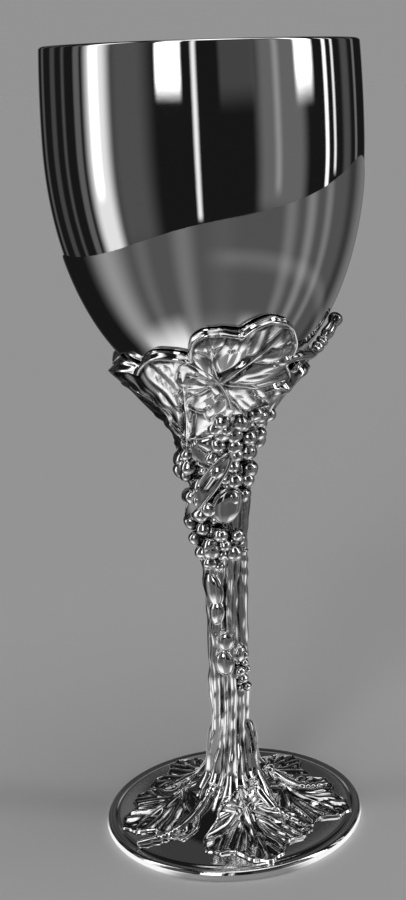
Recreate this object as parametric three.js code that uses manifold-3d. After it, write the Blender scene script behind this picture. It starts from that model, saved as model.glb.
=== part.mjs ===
// A stemmed goblet: a mirror-polished tulip bowl, open at the top, soldered into a cast vine stem.
// The stem is one casting: a round foot with five vine leaves lying on it, a fluted trunk with a
// winding shoot, hanging bunches of grapes, and a cup of curling leaves that clasps the bowl.
// Millimetres, +Z up, the origin on the table at the centre of the foot, the front facing -Y.
// Angles are in degrees about the goblet's axis, 0 at the front and growing towards +X.

import * as THREE from "three";
import { mergeVertices } from "three/addons/utils/BufferGeometryUtils.js";
import Module from "manifold-3d";

const wasm = await Module();
wasm.setup();

// Bowl
const gobletHeight = 200; // the rim above the table
const bowlDepth = 84.5; // the rim down to the outside of the bowl's bottom
const bellyDrop = 22; // the widest level below the rim
const rimRadius = 37.8;
const bellyRadius = 38.5;
const bowlWall = 1.2;
const bowlFullness = 2.05; // 2 is an ellipse, more is squarer
const bowlFacets = 32;

// Foot
const footRadius = 34;
const footEdge = 3; // height of the rounded edge
const edgeRound = 1; // how far the edge rounds in, above and below
const standRing = 3; // width of the flat ring that the goblet stands on
const footDish = 1.6; // hollow of the underside
const flareHeight = 14.5; // where the trunk begins to spread into the foot
const flarePower = 3.2; // how quickly it spreads

// Trunk
const trunkRadius = 4.8;
const stemFacets = 24;
const fluteCount = 6;
const fluteDepth = 0.09; // share of the radius
const rootDepth = 0.17; // share of the radius, where the trunk spreads
const fluteTwist = 40; // degrees that a flute turns over the trunk's length

// Cup of leaves
const seatClearance = 0.4; // between the bowl and the casting
const cupClimb = 8; // how high the solid cup climbs above the bowl's bottom
const cupWall = 1.6; // thickness of the cup's lip
const leafThickness = 1.1;
const footLeafThickness = 1.1;
const leafSink = 1.2; // how deep a leaf is rooted in what carries it
const leafRoot = 0.8; // how far below the plate's top a leaf on the foot is rooted
const leafReach = 24; // length of the guide surface above the cup's lip

// Grapes
const grapeRadius = 1.9;
const grapePitch = 3.85;
const budRadius = 1.25;

const bowlBottom = gobletHeight - bowlDepth;
const bellyLevel = gobletHeight - bellyDrop;
const degrees = (angle) => (angle * Math.PI) / 180;
const smooth = (low, high, x) => THREE.MathUtils.smoothstep(x, low, high);

// The point of the goblet's frame at an angle about the axis, a radius and a height.
function around(angle, radius, height) {
  return new THREE.Vector3(
    radius * Math.sin(degrees(angle)),
    -radius * Math.cos(degrees(angle)),
    height,
  );
}

// Turns a closed three.js geometry into a solid that can be joined or cut.
function solidOf(geometry) {
  const bare = new THREE.BufferGeometry();
  bare.setAttribute("position", geometry.getAttribute("position"));
  bare.setIndex(geometry.index);
  const merged = mergeVertices(bare, 1e-4);
  const corners = merged.index.array;
  const kept = [];
  for (let i = 0; i < corners.length; i += 3) {
    const [a, b, c] = corners.slice(i, i + 3);
    if (a !== b && b !== c && c !== a) kept.push(a, b, c);
  }
  return new wasm.Manifold(
    new wasm.Mesh({
      numProp: 3,
      vertProperties: merged.attributes.position.array,
      triVerts: new Uint32Array(kept),
    }),
  );
}

// Turns a solid back into a three.js geometry.
function geometryOf(solid) {
  const mesh = solid.getMesh();
  const geometry = new THREE.BufferGeometry();
  const places = new Float32Array(mesh.vertProperties);
  geometry.setAttribute("position", new THREE.BufferAttribute(places, 3));
  geometry.setIndex(new THREE.BufferAttribute(new Uint32Array(mesh.triVerts), 1));
  geometry.computeVertexNormals();
  return geometry;
}

// Moves every vertex of a geometry to where place(x, y, z) says.
function reshape(geometry, place) {
  const position = geometry.getAttribute("position");
  for (let i = 0; i < position.count; i += 1) {
    const moved = place(position.getX(i), position.getY(i), position.getZ(i));
    position.setXYZ(i, moved.x, moved.y, moved.z);
  }
  return geometry;
}

// The bowl's outside, set out by an offset, from the bottom on the axis up to a level.
// A turn of 0 is the bottom and 1 is the widest level.
function bowlSide(offset, turns) {
  const width = bellyRadius + offset;
  const depth = bellyLevel - bowlBottom + offset;
  const power = 2 / bowlFullness;
  return turns.map((turn) => {
    const a = (turn * Math.PI) / 2;
    return new THREE.Vector2(
      width * Math.sin(a) ** power,
      bellyLevel - depth * Math.max(0, Math.cos(a)) ** power,
    );
  });
}

// The radius of the bowl's outside, set out by an offset, at a height below the widest level.
function bowlRadiusAt(height, offset) {
  const depth = bellyLevel - bowlBottom + offset;
  const share = Math.min(1, (bellyLevel - height) / depth);
  return (bellyRadius + offset) * (1 - share ** bowlFullness) ** (1 / bowlFullness);
}

// The bowl, spun from sheet: outside up to the rim, over its rounded edge and down the inside.
function makeBowl() {
  const turns = [0, 0.16, 0.32, 0.48, 0.65, 0.82, 1];
  const lips = [0.35, 0.7];
  const draw = (share) => bellyRadius - (bellyRadius - rimRadius) * share ** 2;
  const half = bowlWall / 2;
  const rimCentre = gobletHeight - half;
  const outside = [
    ...bowlSide(0, turns),
    ...lips.map((s) => new THREE.Vector2(draw(s), bellyLevel + s * (rimCentre - bellyLevel))),
  ];
  const inside = [
    ...bowlSide(-bowlWall, turns),
    ...lips.map((s) => new THREE.Vector2(draw(s) - bowlWall, bellyLevel + s * (rimCentre - bellyLevel))),
  ];
  const edge = [0, 45, 90, 135, 180].map(
    (a) =>
      new THREE.Vector2(
        rimRadius - half + half * Math.cos(degrees(a)),
        rimCentre + half * Math.sin(degrees(a)),
      ),
  );
  const profile = [...outside, ...edge, ...inside.reverse()];
  return new THREE.LatheGeometry(profile, bowlFacets).rotateX(Math.PI / 2);
}

// Height of the foot's upper surface at a radius, from the trunk's spread out to the edge.
const flareRadius = trunkRadius * 1.5;
const plateRadius = footRadius - edgeRound;
function footTop(radius) {
  const share = Math.min(1, Math.max(0, (radius - flareRadius) / (plateRadius - flareRadius)));
  return footEdge + (flareHeight - footEdge) * (1 - share) ** flarePower;
}

// The trunk's outline: height as a share of the stem above the flare, radius in trunk radii.
const trunkOutline = [
  [0.05, 1.26],
  [0.12, 1.05],
  [0.24, 1.0],
  [0.37, 0.95],
  [0.49, 0.98],
  [0.58, 1.12],
  [0.67, 1.34],
  [0.78, 1.52],
  [0.88, 1.86],
  [0.94, 2.38],
];
const lipHeight = bowlBottom + cupClimb;
const lipRadius = bowlRadiusAt(lipHeight, seatClearance) + cupWall;

// The casting's outer surface from the foot's edge to the lip, as [radius, height] pairs.
function castingOutline() {
  const footShares = [1, 0.68, 0.42, 0.24, 0.12, 0.04, 0];
  const foot = footShares.map((share) => {
    const radius = flareRadius + share * (plateRadius - flareRadius);
    return [radius, footTop(radius)];
  });
  const stemLength = bowlBottom - flareHeight;
  const trunk = trunkOutline.map(([share, width]) => [
    width * trunkRadius,
    flareHeight + share * stemLength,
  ]);
  const neckRadius = trunk.at(-1)[0];
  const cup = [
    [neckRadius + 0.24 * (lipRadius - neckRadius), bowlBottom - 0.02 * stemLength],
    [neckRadius + 0.6 * (lipRadius - neckRadius), bowlBottom + 0.35 * cupClimb],
    [lipRadius, lipHeight],
  ];
  return [...foot, ...trunk, ...cup];
}

// A surface of revolution to lay leaves on. Its line runs up the casting's outside and on along
// the bowl. place(along, angle, lift) is the point that far up the line, lifted off the surface.
function guideAlong(outline) {
  const line = new THREE.CatmullRomCurve3(
    outline.map(([radius, height]) => new THREE.Vector3(radius, height, 0)),
    false,
    "centripetal",
  );
  line.arcLengthDivisions = 600;
  const length = line.getLength();
  const share = (along) => Math.min(1, Math.max(0, along / length));
  const radiusAt = (along) => line.getPointAt(share(along)).x;
  const place = (along, angle, lift) => {
    const point = line.getPointAt(share(along));
    const way = line.getTangentAt(share(along));
    return around(angle, point.x + lift * way.y, point.y - lift * way.x);
  };
  // How far up the line the given test first passes.
  const reach = (test) => {
    const steps = 800;
    for (let i = 0; i <= steps; i += 1) {
      if (test(line.getPointAt(i / steps))) return (i / steps) * length;
    }
    return length;
  };
  return {
    place,
    radiusAt,
    atHeight: (height) => reach((point) => point.y >= height),
    atRadius: (radius) => reach((point) => point.x <= radius),
  };
}

const outline = castingOutline();
const alongBowl = [0.25, 0.5, 0.75, 1].map((share) => {
  const height = lipHeight + share * leafReach;
  return [bowlRadiusAt(height, seatClearance * 1.6), height];
});
const guide = guideAlong([...outline, ...alongBowl]);
const lipAlong = guide.atHeight(lipHeight);

// How much the trunk's flutes and the roots at its base swell or pinch it at a height.
function swelling(height, angle) {
  const share = (height - flareHeight) / (bowlBottom - flareHeight);
  const turned = angle - fluteTwist * share;
  const flutes = fluteDepth * smooth(0, 0.1, share) * (1 - smooth(0.5, 0.7, share));
  const roots =
    rootDepth * smooth(flareHeight * 0.35, flareHeight, height) * (1 - smooth(0.02, 0.14, share));
  return 1 + (flutes + roots) * Math.cos(degrees(fluteCount * turned));
}

// The casting's core: underside, ring, rounded edge, foot, trunk, cup and the seat for the bowl.
function makeCore() {
  const ringOuter = footRadius - edgeRound;
  const underside = [
    [0, footDish],
    [ringOuter - standRing - footDish, footDish * 0.6],
    [ringOuter - standRing, 0],
    [ringOuter, 0],
    [footRadius, edgeRound],
    [footRadius, footEdge - edgeRound],
  ];
  const seat = bowlSide(seatClearance, [0, 0.1, 0.2, 0.28])
    .filter((p) => p.y < lipHeight - 0.4)
    .reverse()
    .map((p) => [p.x, p.y]);
  const lip = [[bowlRadiusAt(lipHeight, seatClearance), lipHeight]];
  const profile = [...underside, ...outline, ...lip, ...seat].map(
    ([radius, height]) => new THREE.Vector2(radius, height),
  );
  const lathe = new THREE.LatheGeometry(profile, stemFacets).rotateX(Math.PI / 2);
  return solidOf(
    reshape(lathe, (x, y, z) => {
      const angle = (Math.atan2(x, -y) * 180) / Math.PI;
      const swell = z > footEdge && z < bowlBottom ? swelling(z, angle) : 1;
      return new THREE.Vector3(x * swell, y * swell, z);
    }),
  );
}

// A vine leaf's edge: its distance from where the stalk meets it, as a share of the leaf's
// length, in a direction measured clockwise from its tip. The lobes are spaced evenly round the
// stalk's end, starting with the tip, and between two lobes the edge draws in to a bay. A higher
// roundness gives rounder lobes.
const vineEdge = (lobes, bayDepth, roundness) => (direction) => {
  const turn = (THREE.MathUtils.euclideanModulo(direction, 360) * lobes.length) / 360;
  const before = Math.floor(turn) % lobes.length;
  const after = (before + 1) % lobes.length;
  const past = turn - Math.floor(turn);
  const bay = ((1 - bayDepth) * (lobes[before] + lobes[after])) / 2;
  const near = past < 0.5 ? lobes[before] : lobes[after];
  const away = 2 * Math.min(past, 1 - past);
  return near + (bay - near) * away ** roundness;
};

// A slender leaf's or bud's edge, in the same terms.
const bladeEdge = (slimness) => (direction) => {
  const a = degrees(direction);
  return 1 / Math.hypot(Math.cos(a), Math.sin(a) * slimness);
};

// A leaf is a ball pressed flat: its upper half is the leaf's face, its lower half the back.
// spread(u, v, lift) lays a point of the flat leaf, v towards its tip, on what carries it.
function makeLeaf({ length, edge, spokes, faceRings, backRings, thickness, puff, curl, spread }) {
  const rings = faceRings.length + backRings.length - 2;
  const ball = new THREE.SphereGeometry(1, spokes, rings);
  return solidOf(
    reshape(ball, (x, y, z) => {
      const ring = Math.round((Math.acos(THREE.MathUtils.clamp(y, -1, 1)) / Math.PI) * rings);
      const face = ring < faceRings.length;
      const out = face ? faceRings[ring] : backRings[ring - faceRings.length + 1];
      const direction = out === 0 ? 0 : (Math.atan2(z, x) * 180) / Math.PI;
      const reach = out * length * edge(direction);
      const v = reach * Math.cos(degrees(direction));
      const u = reach * Math.sin(degrees(direction));
      const between = Math.sin(degrees(direction) * 3) ** 2;
      const relief = puff * between * out * (1.3 - out) + curl * out ** 3;
      const rim = out === 1 ? thickness / 2 : 0;
      return spread(u, v, face ? thickness + relief - rim : 0);
    }),
  );
}

// Lays a leaf on the guide surface, its stalk end at an angle and a height, turned clockwise.
function onGuide(angle, along, turn) {
  const c = Math.cos(degrees(turn));
  const s = Math.sin(degrees(turn));
  return (u, v, lift) => {
    const across = u * c + v * s;
    const up = along + v * c - u * s;
    const radius = Math.max(trunkRadius, guide.radiusAt(up));
    const sunk = lift === 0 && up < lipAlong ? -leafSink : lift;
    return guide.place(up, angle + (across / radius) * (180 / Math.PI), sunk);
  };
}

// Lays a leaf flat on the foot, its stalk end at an angle and a radius, its tip pointing out.
function onFoot(angle, start, turn) {
  const out = around(angle + turn, 1, 0);
  const side = new THREE.Vector3().crossVectors(out, new THREE.Vector3(0, 0, 1));
  const stalk = around(angle, start, 0);
  return (u, v, lift) => {
    const plan = stalk.clone().addScaledVector(out, v).addScaledVector(side, u);
    const radius = Math.min(plateRadius, Math.max(flareRadius, Math.hypot(plan.x, plan.y)));
    const heading = (Math.atan2(plan.x, -plan.y) * 180) / Math.PI;
    if (lift === 0) return around(heading, radius, footEdge - leafRoot);
    return guide.place(guide.atRadius(radius), heading, lift);
  };
}

// How finely a broad leaf, one on the far side and a slender one are modelled.
const broad = { spokes: 24, faceRings: [0, 0.5, 1], backRings: [1, 0.6, 0] };
const plain = { ...broad, spokes: 12 };
const isFar = (angle) => Math.abs(angle) > 100;
const slender = { spokes: 8, faceRings: [0, 1], backRings: [1, 0] };

const leafStart = 13; // distance of a foot leaf's stalk from the goblet's axis
// The five leaves that lie on the foot: angle of the stalk, turn of the tip, length.
const footLeaves = [
  [12, 6, 19],
  [82, -8, 19],
  [146, 0, 18],
  [-150, 0, 18],
  [-86, 24, 19],
];
function makeFootLeaves() {
  return footLeaves.map(([angle, turn, length]) =>
    makeLeaf({
      length,
      edge: vineEdge([1, 0.84, 0.36, 0.26, 0.36, 0.95], 0.22, 1.6),
      ...(isFar(angle) ? plain : broad),
      thickness: footLeafThickness,
      puff: 1.6,
      curl: 0.1,
      spread: onFoot(angle, leafStart, turn),
    }),
  );
}

// The leaves that clasp the bowl: where the stalk is, about the axis and above the bowl's
// bottom, how far the tip turns from upright, its length, its lobes clockwise from the tip, and
// how far its edge stands off.
const frontLeaf = {
  angle: 2, rise: 8.5, turn: 50, length: 24, lobes: [1, 0.87, 0.73, 0.5, 0.46, 0.66], curl: 1.4,
};
const cupLeaves = [
  { angle: -40, rise: -8, turn: 22, length: 31, lobes: [1, 0.62, 0.36, 0.3, 0.38, 0.92], curl: 2 },
  { angle: 64, rise: -6, turn: 18, length: 20, lobes: [1, 0.8, 0.45, 0.35, 0.45, 0.85], curl: 1.6 },
  { angle: 116, rise: -6, turn: 12, length: 24, lobes: [1, 0.9, 0.45, 0.35, 0.45, 0.85], curl: 2.2 },
  { angle: -112, rise: -6, turn: -8, length: 24, lobes: [1, 0.85, 0.5, 0.35, 0.45, 0.85], curl: 2.2 },
  { angle: 176, rise: 8, turn: -30, length: 21, lobes: [1, 0.8, 0.55, 0.45, 0.6, 0.85], curl: 1.8 },
  frontLeaf,
];
function makeCupLeaves() {
  return cupLeaves.map(({ angle, rise, turn, length, lobes, curl }) =>
    makeLeaf({
      length,
      edge: vineEdge(lobes, 0.2, 2),
      ...(isFar(angle) ? plain : broad),
      thickness: leafThickness,
      puff: 1.8,
      curl,
      spread: onGuide(angle, guide.atHeight(bowlBottom + rise), turn),
    }),
  );
}

// Slender leaves and buds on the stem: angle, height as a share of the stem, turn, half their
// length, slimness, and how far they stand out.
const stemLeaves = [
  [-17, 0.825, 32, 12, 5, 2.7],
  [-38, 0.57, 170, 5, 1.5, 0.9],
  [-30, 0.515, 188, 3.6, 1.6, 0.8],
  [-2, 0.445, 195, 2.5, 1.1, 0.9],
  [-10, 0.395, 172, 3.3, 1.3, 0.9],
  [46, 0.41, 200, 2.6, 1.2, 0.9],
  [150, 0.47, 180, 4.5, 1.6, 0.9],
  [-150, 0.4, 170, 4, 1.5, 0.9],
  [94, 0.2, 10, 4, 2, 0.9],
];
function makeStemLeaves() {
  return stemLeaves.map(([angle, share, turn, length, slimness, thickness]) =>
    makeLeaf({
      length,
      edge: bladeEdge(slimness),
      ...slender,
      thickness,
      puff: 0,
      curl: 0.2,
      spread: onGuide(angle, guide.atHeight(share * bowlBottom), turn),
    }),
  );
}

// A grape set in the stem: its centre stands proud of the surface by a lift, and below its
// waist it narrows to a point inside the stem.
const grapeSides = 5;
const grapeTurns = [0, 40, 86, 180];
function makeGrape(along, angle, radius, lift) {
  const centre = guide.place(along, angle, lift);
  const pole = guide.place(along, angle, lift + radius).sub(centre).normalize();
  const turn = new THREE.Quaternion().setFromUnitVectors(new THREE.Vector3(0, 1, 0), pole);
  const profile = grapeTurns.map(
    (a) => new THREE.Vector2(radius * Math.sin(degrees(a)), radius * Math.cos(degrees(a))),
  );
  const ball = new THREE.LatheGeometry(profile.reverse(), grapeSides);
  ball.applyQuaternion(turn);
  return solidOf(ball.translate(centre.x, centre.y, centre.z));
}

// Bunches of grapes: angle of the top and of the tail, height of the top as a share of the stem,
// then how many grapes each row has, from the top down.
const bunches = [
  { top: 40, tail: 24, start: 0.955, rows: [4, 4, 4, 4, 3, 3, 2], size: grapeRadius },
  { top: -58, tail: -32, start: 0.885, rows: [2, 2, 3, 2, 3, 2, 3, 2, 2, 1], size: grapeRadius },
  { top: 158, tail: 170, start: 0.93, rows: [3, 2, 1], size: grapeRadius },
  { top: 26, tail: 26, start: 0.69, rows: [2, 1], size: grapeRadius * 0.95 },
  { top: 46, tail: 52, start: 0.4, rows: [1, 1, 2, 1, 1], size: budRadius },
];
function makeBunch({ top, tail, start, rows, size }) {
  const pitch = grapePitch * (size / grapeRadius);
  const first = guide.atHeight(start * bowlBottom);
  return rows.flatMap((count, row) => {
    const along = first - row * pitch * 0.87;
    const centre = top + ((tail - top) * row) / Math.max(1, rows.length - 1);
    const step = ((pitch / (guide.radiusAt(along) + size * 0.5)) * 180) / Math.PI;
    return Array.from({ length: count }, (_, i) => {
      const across = i - (count - 1) / 2;
      const dome = 1 - (across / (count / 2 + 0.5)) ** 2;
      return makeGrape(along, centre + across * step, size, size * (0.2 + 0.3 * dome));
    });
  });
}

// A round shoot that follows the guide surface through [angle, distance up the line, lift] stops.
function makeShoot(stops, radius, sides, steps) {
  const route = new THREE.CatmullRomCurve3(
    stops.map(([angle, along, lift]) => guide.place(along, angle, lift)),
  );
  const section = new THREE.Shape().absarc(0, 0, radius, 0, 2 * Math.PI, false);
  return solidOf(
    new THREE.ExtrudeGeometry(section, {
      curveSegments: sides / 2,
      steps,
      bevelEnabled: false,
      extrudePath: route,
    }),
  );
}

// The bare tendril that climbs the bowl at the right, with a knob at its tip, the shoot that winds
// round the trunk from the grapes down, and the roots that run out over the foot.
const tendrilRadius = 1.05;
const knobRadius = 1.5;
const shootRadius = 0.9;
const rootRadius = 0.95;
// Roots: angle at the trunk, angle at the tip, and their reach as a share of the plate's width.
const roots = [
  [-36, -54, 0.95],
  [34, 50, 0.55],
  [92, 106, 0.75],
  [176, 180, 0.6],
];
function makeShoots() {
  // The tendril springs from the front leaf: millimetres across and up from that leaf's stalk.
  const stalk = guide.atHeight(bowlBottom + frontLeaf.rise);
  const fromStalk = (across, up, lift) => {
    const along = stalk + up;
    return [frontLeaf.angle + ((across / guide.radiusAt(along)) * 180) / Math.PI, along, lift];
  };
  const tip = fromStalk(41, 12.6, tendrilRadius * 1.2);
  const tendril = [
    fromStalk(12.5, 4.6, 0.6),
    fromStalk(20.5, 5.6, 1.2),
    fromStalk(27.5, 4.6, 1.5),
    fromStalk(34.5, 7.4, 1.4),
    tip,
  ];
  const up = (share) => guide.atHeight(share * bowlBottom);
  const winding = [0.66, 0.58, 0.5, 0.42, 0.34, 0.26, 0.2].map((share, i) => [
    62 + 16 * i,
    up(share),
    shootRadius * 0.35,
  ]);
  const spreading = roots.map(([start, end, reach]) =>
    [0.04, 0.25, 0.5, 0.75, 1].map((way) => [
      start + (end - start) * way,
      guide.atRadius(flareRadius + way * reach * (plateRadius - flareRadius)),
      rootRadius * 0.35,
    ]),
  );
  return [
    makeShoot(tendril, tendrilRadius, 6, 8),
    makeGrape(tip[1], tip[0], knobRadius, knobRadius * 0.8),
    makeShoot(winding, shootRadius, 6, 12),
    ...spreading.map((stops) => makeShoot(stops, rootRadius, 6, 5)),
  ];
}

// Everything that was cast in one pour, as one solid.
function makeVineStem() {
  const cast = [
    makeCore(),
    ...makeFootLeaves(),
    ...makeCupLeaves(),
    ...makeStemLeaves(),
    ...bunches.flatMap(makeBunch),
    ...makeShoots(),
  ];
  const whole = cast.reduce((sum, piece) => sum.add(piece));
  // Metal fills the pockets that grapes and leaves close off between them.
  const bodies = whole.decompose().filter((body) => body.volume() > 0);
  return geometryOf(wasm.Manifold.compose(bodies));
}

const polishedSilver = new THREE.MeshStandardMaterial({ color: 0xd9d9da, roughness: 0.06, metalness: 1 });
const castSilver = new THREE.MeshStandardMaterial({ color: 0xcfcfd1, roughness: 0.16, metalness: 1 });

const goblet = new THREE.Group();
const bowl = new THREE.Mesh(makeBowl(), polishedSilver);
bowl.name = "bowl";
const vineStem = new THREE.Mesh(makeVineStem(), castSilver);
vineStem.name = "vine_stem";
goblet.add(bowl, vineStem);

export default goblet;
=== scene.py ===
"""A silver goblet: a mirror-polished bowl in a cast stem of vine trunk, grapes and curling leaves.

Sizes are in millimetres and become metres where a mesh is made. Angles about the goblet's axis are
in degrees, 0 at the front (-Y) and growing towards +X.
"""

from __future__ import annotations

import logging
import math
from dataclasses import dataclass, field
from enum import Enum
from typing import Callable

import bpy
import numpy as np
from mathutils import Matrix, Vector

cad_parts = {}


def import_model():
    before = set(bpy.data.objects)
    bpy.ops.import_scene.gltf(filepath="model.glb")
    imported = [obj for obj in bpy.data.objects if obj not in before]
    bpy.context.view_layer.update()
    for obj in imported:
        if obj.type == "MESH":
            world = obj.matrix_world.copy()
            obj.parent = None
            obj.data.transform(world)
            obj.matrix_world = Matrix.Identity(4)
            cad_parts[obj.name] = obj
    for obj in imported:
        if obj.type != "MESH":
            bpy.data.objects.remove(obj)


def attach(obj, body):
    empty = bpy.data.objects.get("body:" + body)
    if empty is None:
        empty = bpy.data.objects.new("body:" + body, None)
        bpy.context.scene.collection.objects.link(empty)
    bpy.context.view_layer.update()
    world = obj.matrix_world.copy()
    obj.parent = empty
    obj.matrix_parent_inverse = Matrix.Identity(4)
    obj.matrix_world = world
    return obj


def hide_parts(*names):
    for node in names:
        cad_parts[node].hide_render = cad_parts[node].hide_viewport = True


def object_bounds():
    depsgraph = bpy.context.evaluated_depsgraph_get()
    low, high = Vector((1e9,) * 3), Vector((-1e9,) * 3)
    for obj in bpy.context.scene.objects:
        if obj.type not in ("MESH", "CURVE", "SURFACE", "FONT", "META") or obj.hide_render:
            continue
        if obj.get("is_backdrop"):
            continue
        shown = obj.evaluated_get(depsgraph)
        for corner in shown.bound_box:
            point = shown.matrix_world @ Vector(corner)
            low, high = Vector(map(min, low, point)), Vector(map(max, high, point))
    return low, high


LOG = logging.getLogger("goblet")
METRES = 0.001

Array = np.ndarray
Spread = Callable[[Array, Array, Array, Array], Array]


class Slot(Enum):
    """The record's material slots."""

    BOWL = "polished_silver"
    CASTING = "cast_silver"


def smoothstep(low: float, high: float, value: Array) -> Array:
    """Rise smoothly from 0 at low to 1 at high.

    Args:
        low: Where the rise begins.
        high: Where it ends.
        value: The numbers to map.

    Returns:
        The mapped numbers, from 0 to 1.
    """
    share = np.clip((np.asarray(value, float) - low) / (high - low), 0.0, 1.0)
    return share * share * (3.0 - 2.0 * share)


def around(angle: Array, radius: Array, height: Array) -> Array:
    """Give points by angle about the goblet's axis, radius and height.

    Args:
        angle: Degrees from the front towards +X.
        radius: Distance from the axis.
        height: Height above the table.

    Returns:
        One row of x, y, z per point.
    """
    turn = np.radians(angle)
    return np.stack(np.broadcast_arrays(radius * np.sin(turn), -radius * np.cos(turn), height), axis=-1)


@dataclass
class Shell:
    """A closed mesh in millimetres, with how much painted shade each of its points gets."""

    points: Array
    faces: list[tuple[int, ...]]
    hollow_shade: Array

    @staticmethod
    def joined(shells: list["Shell"]) -> "Shell":
        """Put shells side by side in one mesh.

        Args:
            shells: The closed meshes to put together.

        Returns:
            One shell that holds them all.
        """
        faces: list[tuple[int, ...]] = []
        start = 0
        for shell in shells:
            faces += [tuple(corner + start for corner in face) for face in shell.faces]
            start += len(shell.points)
        points = np.concatenate([shell.points for shell in shells])
        hollow_shade = np.concatenate([shell.hollow_shade for shell in shells])
        return Shell(points, faces, hollow_shade)

    @staticmethod
    def lathed(rings: Array, hollow_shade: Array) -> "Shell":
        """Close a stack of rings whose first and last are drawn together to a point each.

        Args:
            rings: Rows of points, one row per ring, from the lower pole's ring to the upper's.
            hollow_shade: One number per point of the rings.

        Returns:
            The closed mesh, facing outward when the rings run anticlockwise from below up.
        """
        count, sides = rings.shape[:2]
        points = rings.reshape(-1, 3)
        ends = np.stack([rings[0].mean(axis=0), rings[-1].mean(axis=0)])
        low, high = len(points), len(points) + 1
        faces: list[tuple[int, ...]] = []
        for ring in range(count - 1):
            base, above = ring * sides, (ring + 1) * sides
            for i in range(sides):
                j = (i + 1) % sides
                faces.append((base + i, base + j, above + j, above + i))
        top = (count - 1) * sides
        for i in range(sides):
            j = (i + 1) % sides
            faces.append((low, j, i))
            faces.append((high, top + i, top + j))
        tails = np.array([hollow_shade[0].mean(), hollow_shade[-1].mean()])
        depths = np.concatenate([hollow_shade.reshape(-1), tails])
        return Shell(np.concatenate([points, ends]), faces, depths)

    def piece(
        self,
        name: str,
        material: bpy.types.Material,
        slot: Slot,
        node: str,
    ) -> bpy.types.Object:
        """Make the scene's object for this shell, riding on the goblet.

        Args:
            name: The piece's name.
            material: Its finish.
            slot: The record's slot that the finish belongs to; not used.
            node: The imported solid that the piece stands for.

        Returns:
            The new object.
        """
        mesh = bpy.data.meshes.new(name)
        mesh.from_pydata((self.points * METRES).tolist(), [], self.faces)
        mesh.validate()
        # Per-point painted shade, which the finish reads to darken the colour.
        hollow_shade = self.hollow_shade.astype(np.float32)
        mesh.attributes.new("hollow_shade", "FLOAT", "POINT").data.foreach_set("value", hollow_shade)
        mesh.polygons.foreach_set("use_smooth", [True] * len(mesh.polygons))
        mesh.materials.append(material)
        piece = bpy.data.objects.new(name, mesh)
        bpy.context.scene.collection.objects.link(piece)
        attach(piece, "root")
        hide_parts(node)
        LOG.info("%s: %d points, %d faces", name, len(self.points), len(self.faces))
        return piece


class Shader:
    """A small helper that strings shader nodes together."""

    def __init__(self, tree: bpy.types.NodeTree) -> None:
        """Start with an empty node tree."""
        self.tree = tree
        tree.nodes.clear()

    def node(self, kind: str, **settings: object) -> bpy.types.Node:
        """Add a node and set its properties.

        Args:
            kind: The node's type name.
            **settings: Property values by name.

        Returns:
            The new node.
        """
        made = self.tree.nodes.new(kind)
        for key, value in settings.items():
            setattr(made, key, value)
        return made

    def feed(self, socket: bpy.types.NodeSocket, value: object) -> None:
        """Link a socket into another, or set its value.

        Args:
            socket: The input to feed.
            value: An output socket, a number or a colour.
        """
        if isinstance(value, bpy.types.NodeSocket):
            self.tree.links.new(value, socket)
        else:
            socket.default_value = value

    def math(self, operation: str, first: object, second: object = 0.0) -> bpy.types.NodeSocket:
        """Do sums on one or two values.

        Args:
            operation: The Math node's operation.
            first: A number or a socket.
            second: A number or a socket.

        Returns:
            The output socket.
        """
        made = self.node("ShaderNodeMath", operation=operation)
        self.feed(made.inputs[0], first)
        self.feed(made.inputs[1], second)
        return made.outputs[0]

    def fit(
        self,
        value: object,
        low: float,
        high: float,
        start: float = 0.0,
        end: float = 1.0,
    ) -> bpy.types.NodeSocket:
        """Map a range smoothly onto another.

        Args:
            value: The socket to map.
            low: The input that gives start.
            high: The input that gives end.
            start: The lowest output.
            end: The highest output.

        Returns:
            The output socket.
        """
        made = self.node("ShaderNodeMapRange", interpolation_type="SMOOTHSTEP")
        for socket, given in zip(made.inputs, (value, low, high, start, end)):
            self.feed(socket, given)
        return made.outputs[0]

    def noise(
        self,
        scale: float,
        detail: float,
        place: object,
        roughness: float = 0.5,
    ) -> bpy.types.NodeSocket:
        """Add procedural noise.

        Args:
            scale: Its size in cycles per metre.
            detail: How many finer layers it has.
            place: The socket with the coordinates.
            roughness: How strong the finer layers are.

        Returns:
            The noise's factor socket.
        """
        made = self.node("ShaderNodeTexNoise")
        self.feed(made.inputs["Vector"], place)
        self.feed(made.inputs["Scale"], scale)
        self.feed(made.inputs["Detail"], detail)
        self.feed(made.inputs["Roughness"], roughness)
        return made.outputs["Fac"]


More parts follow.
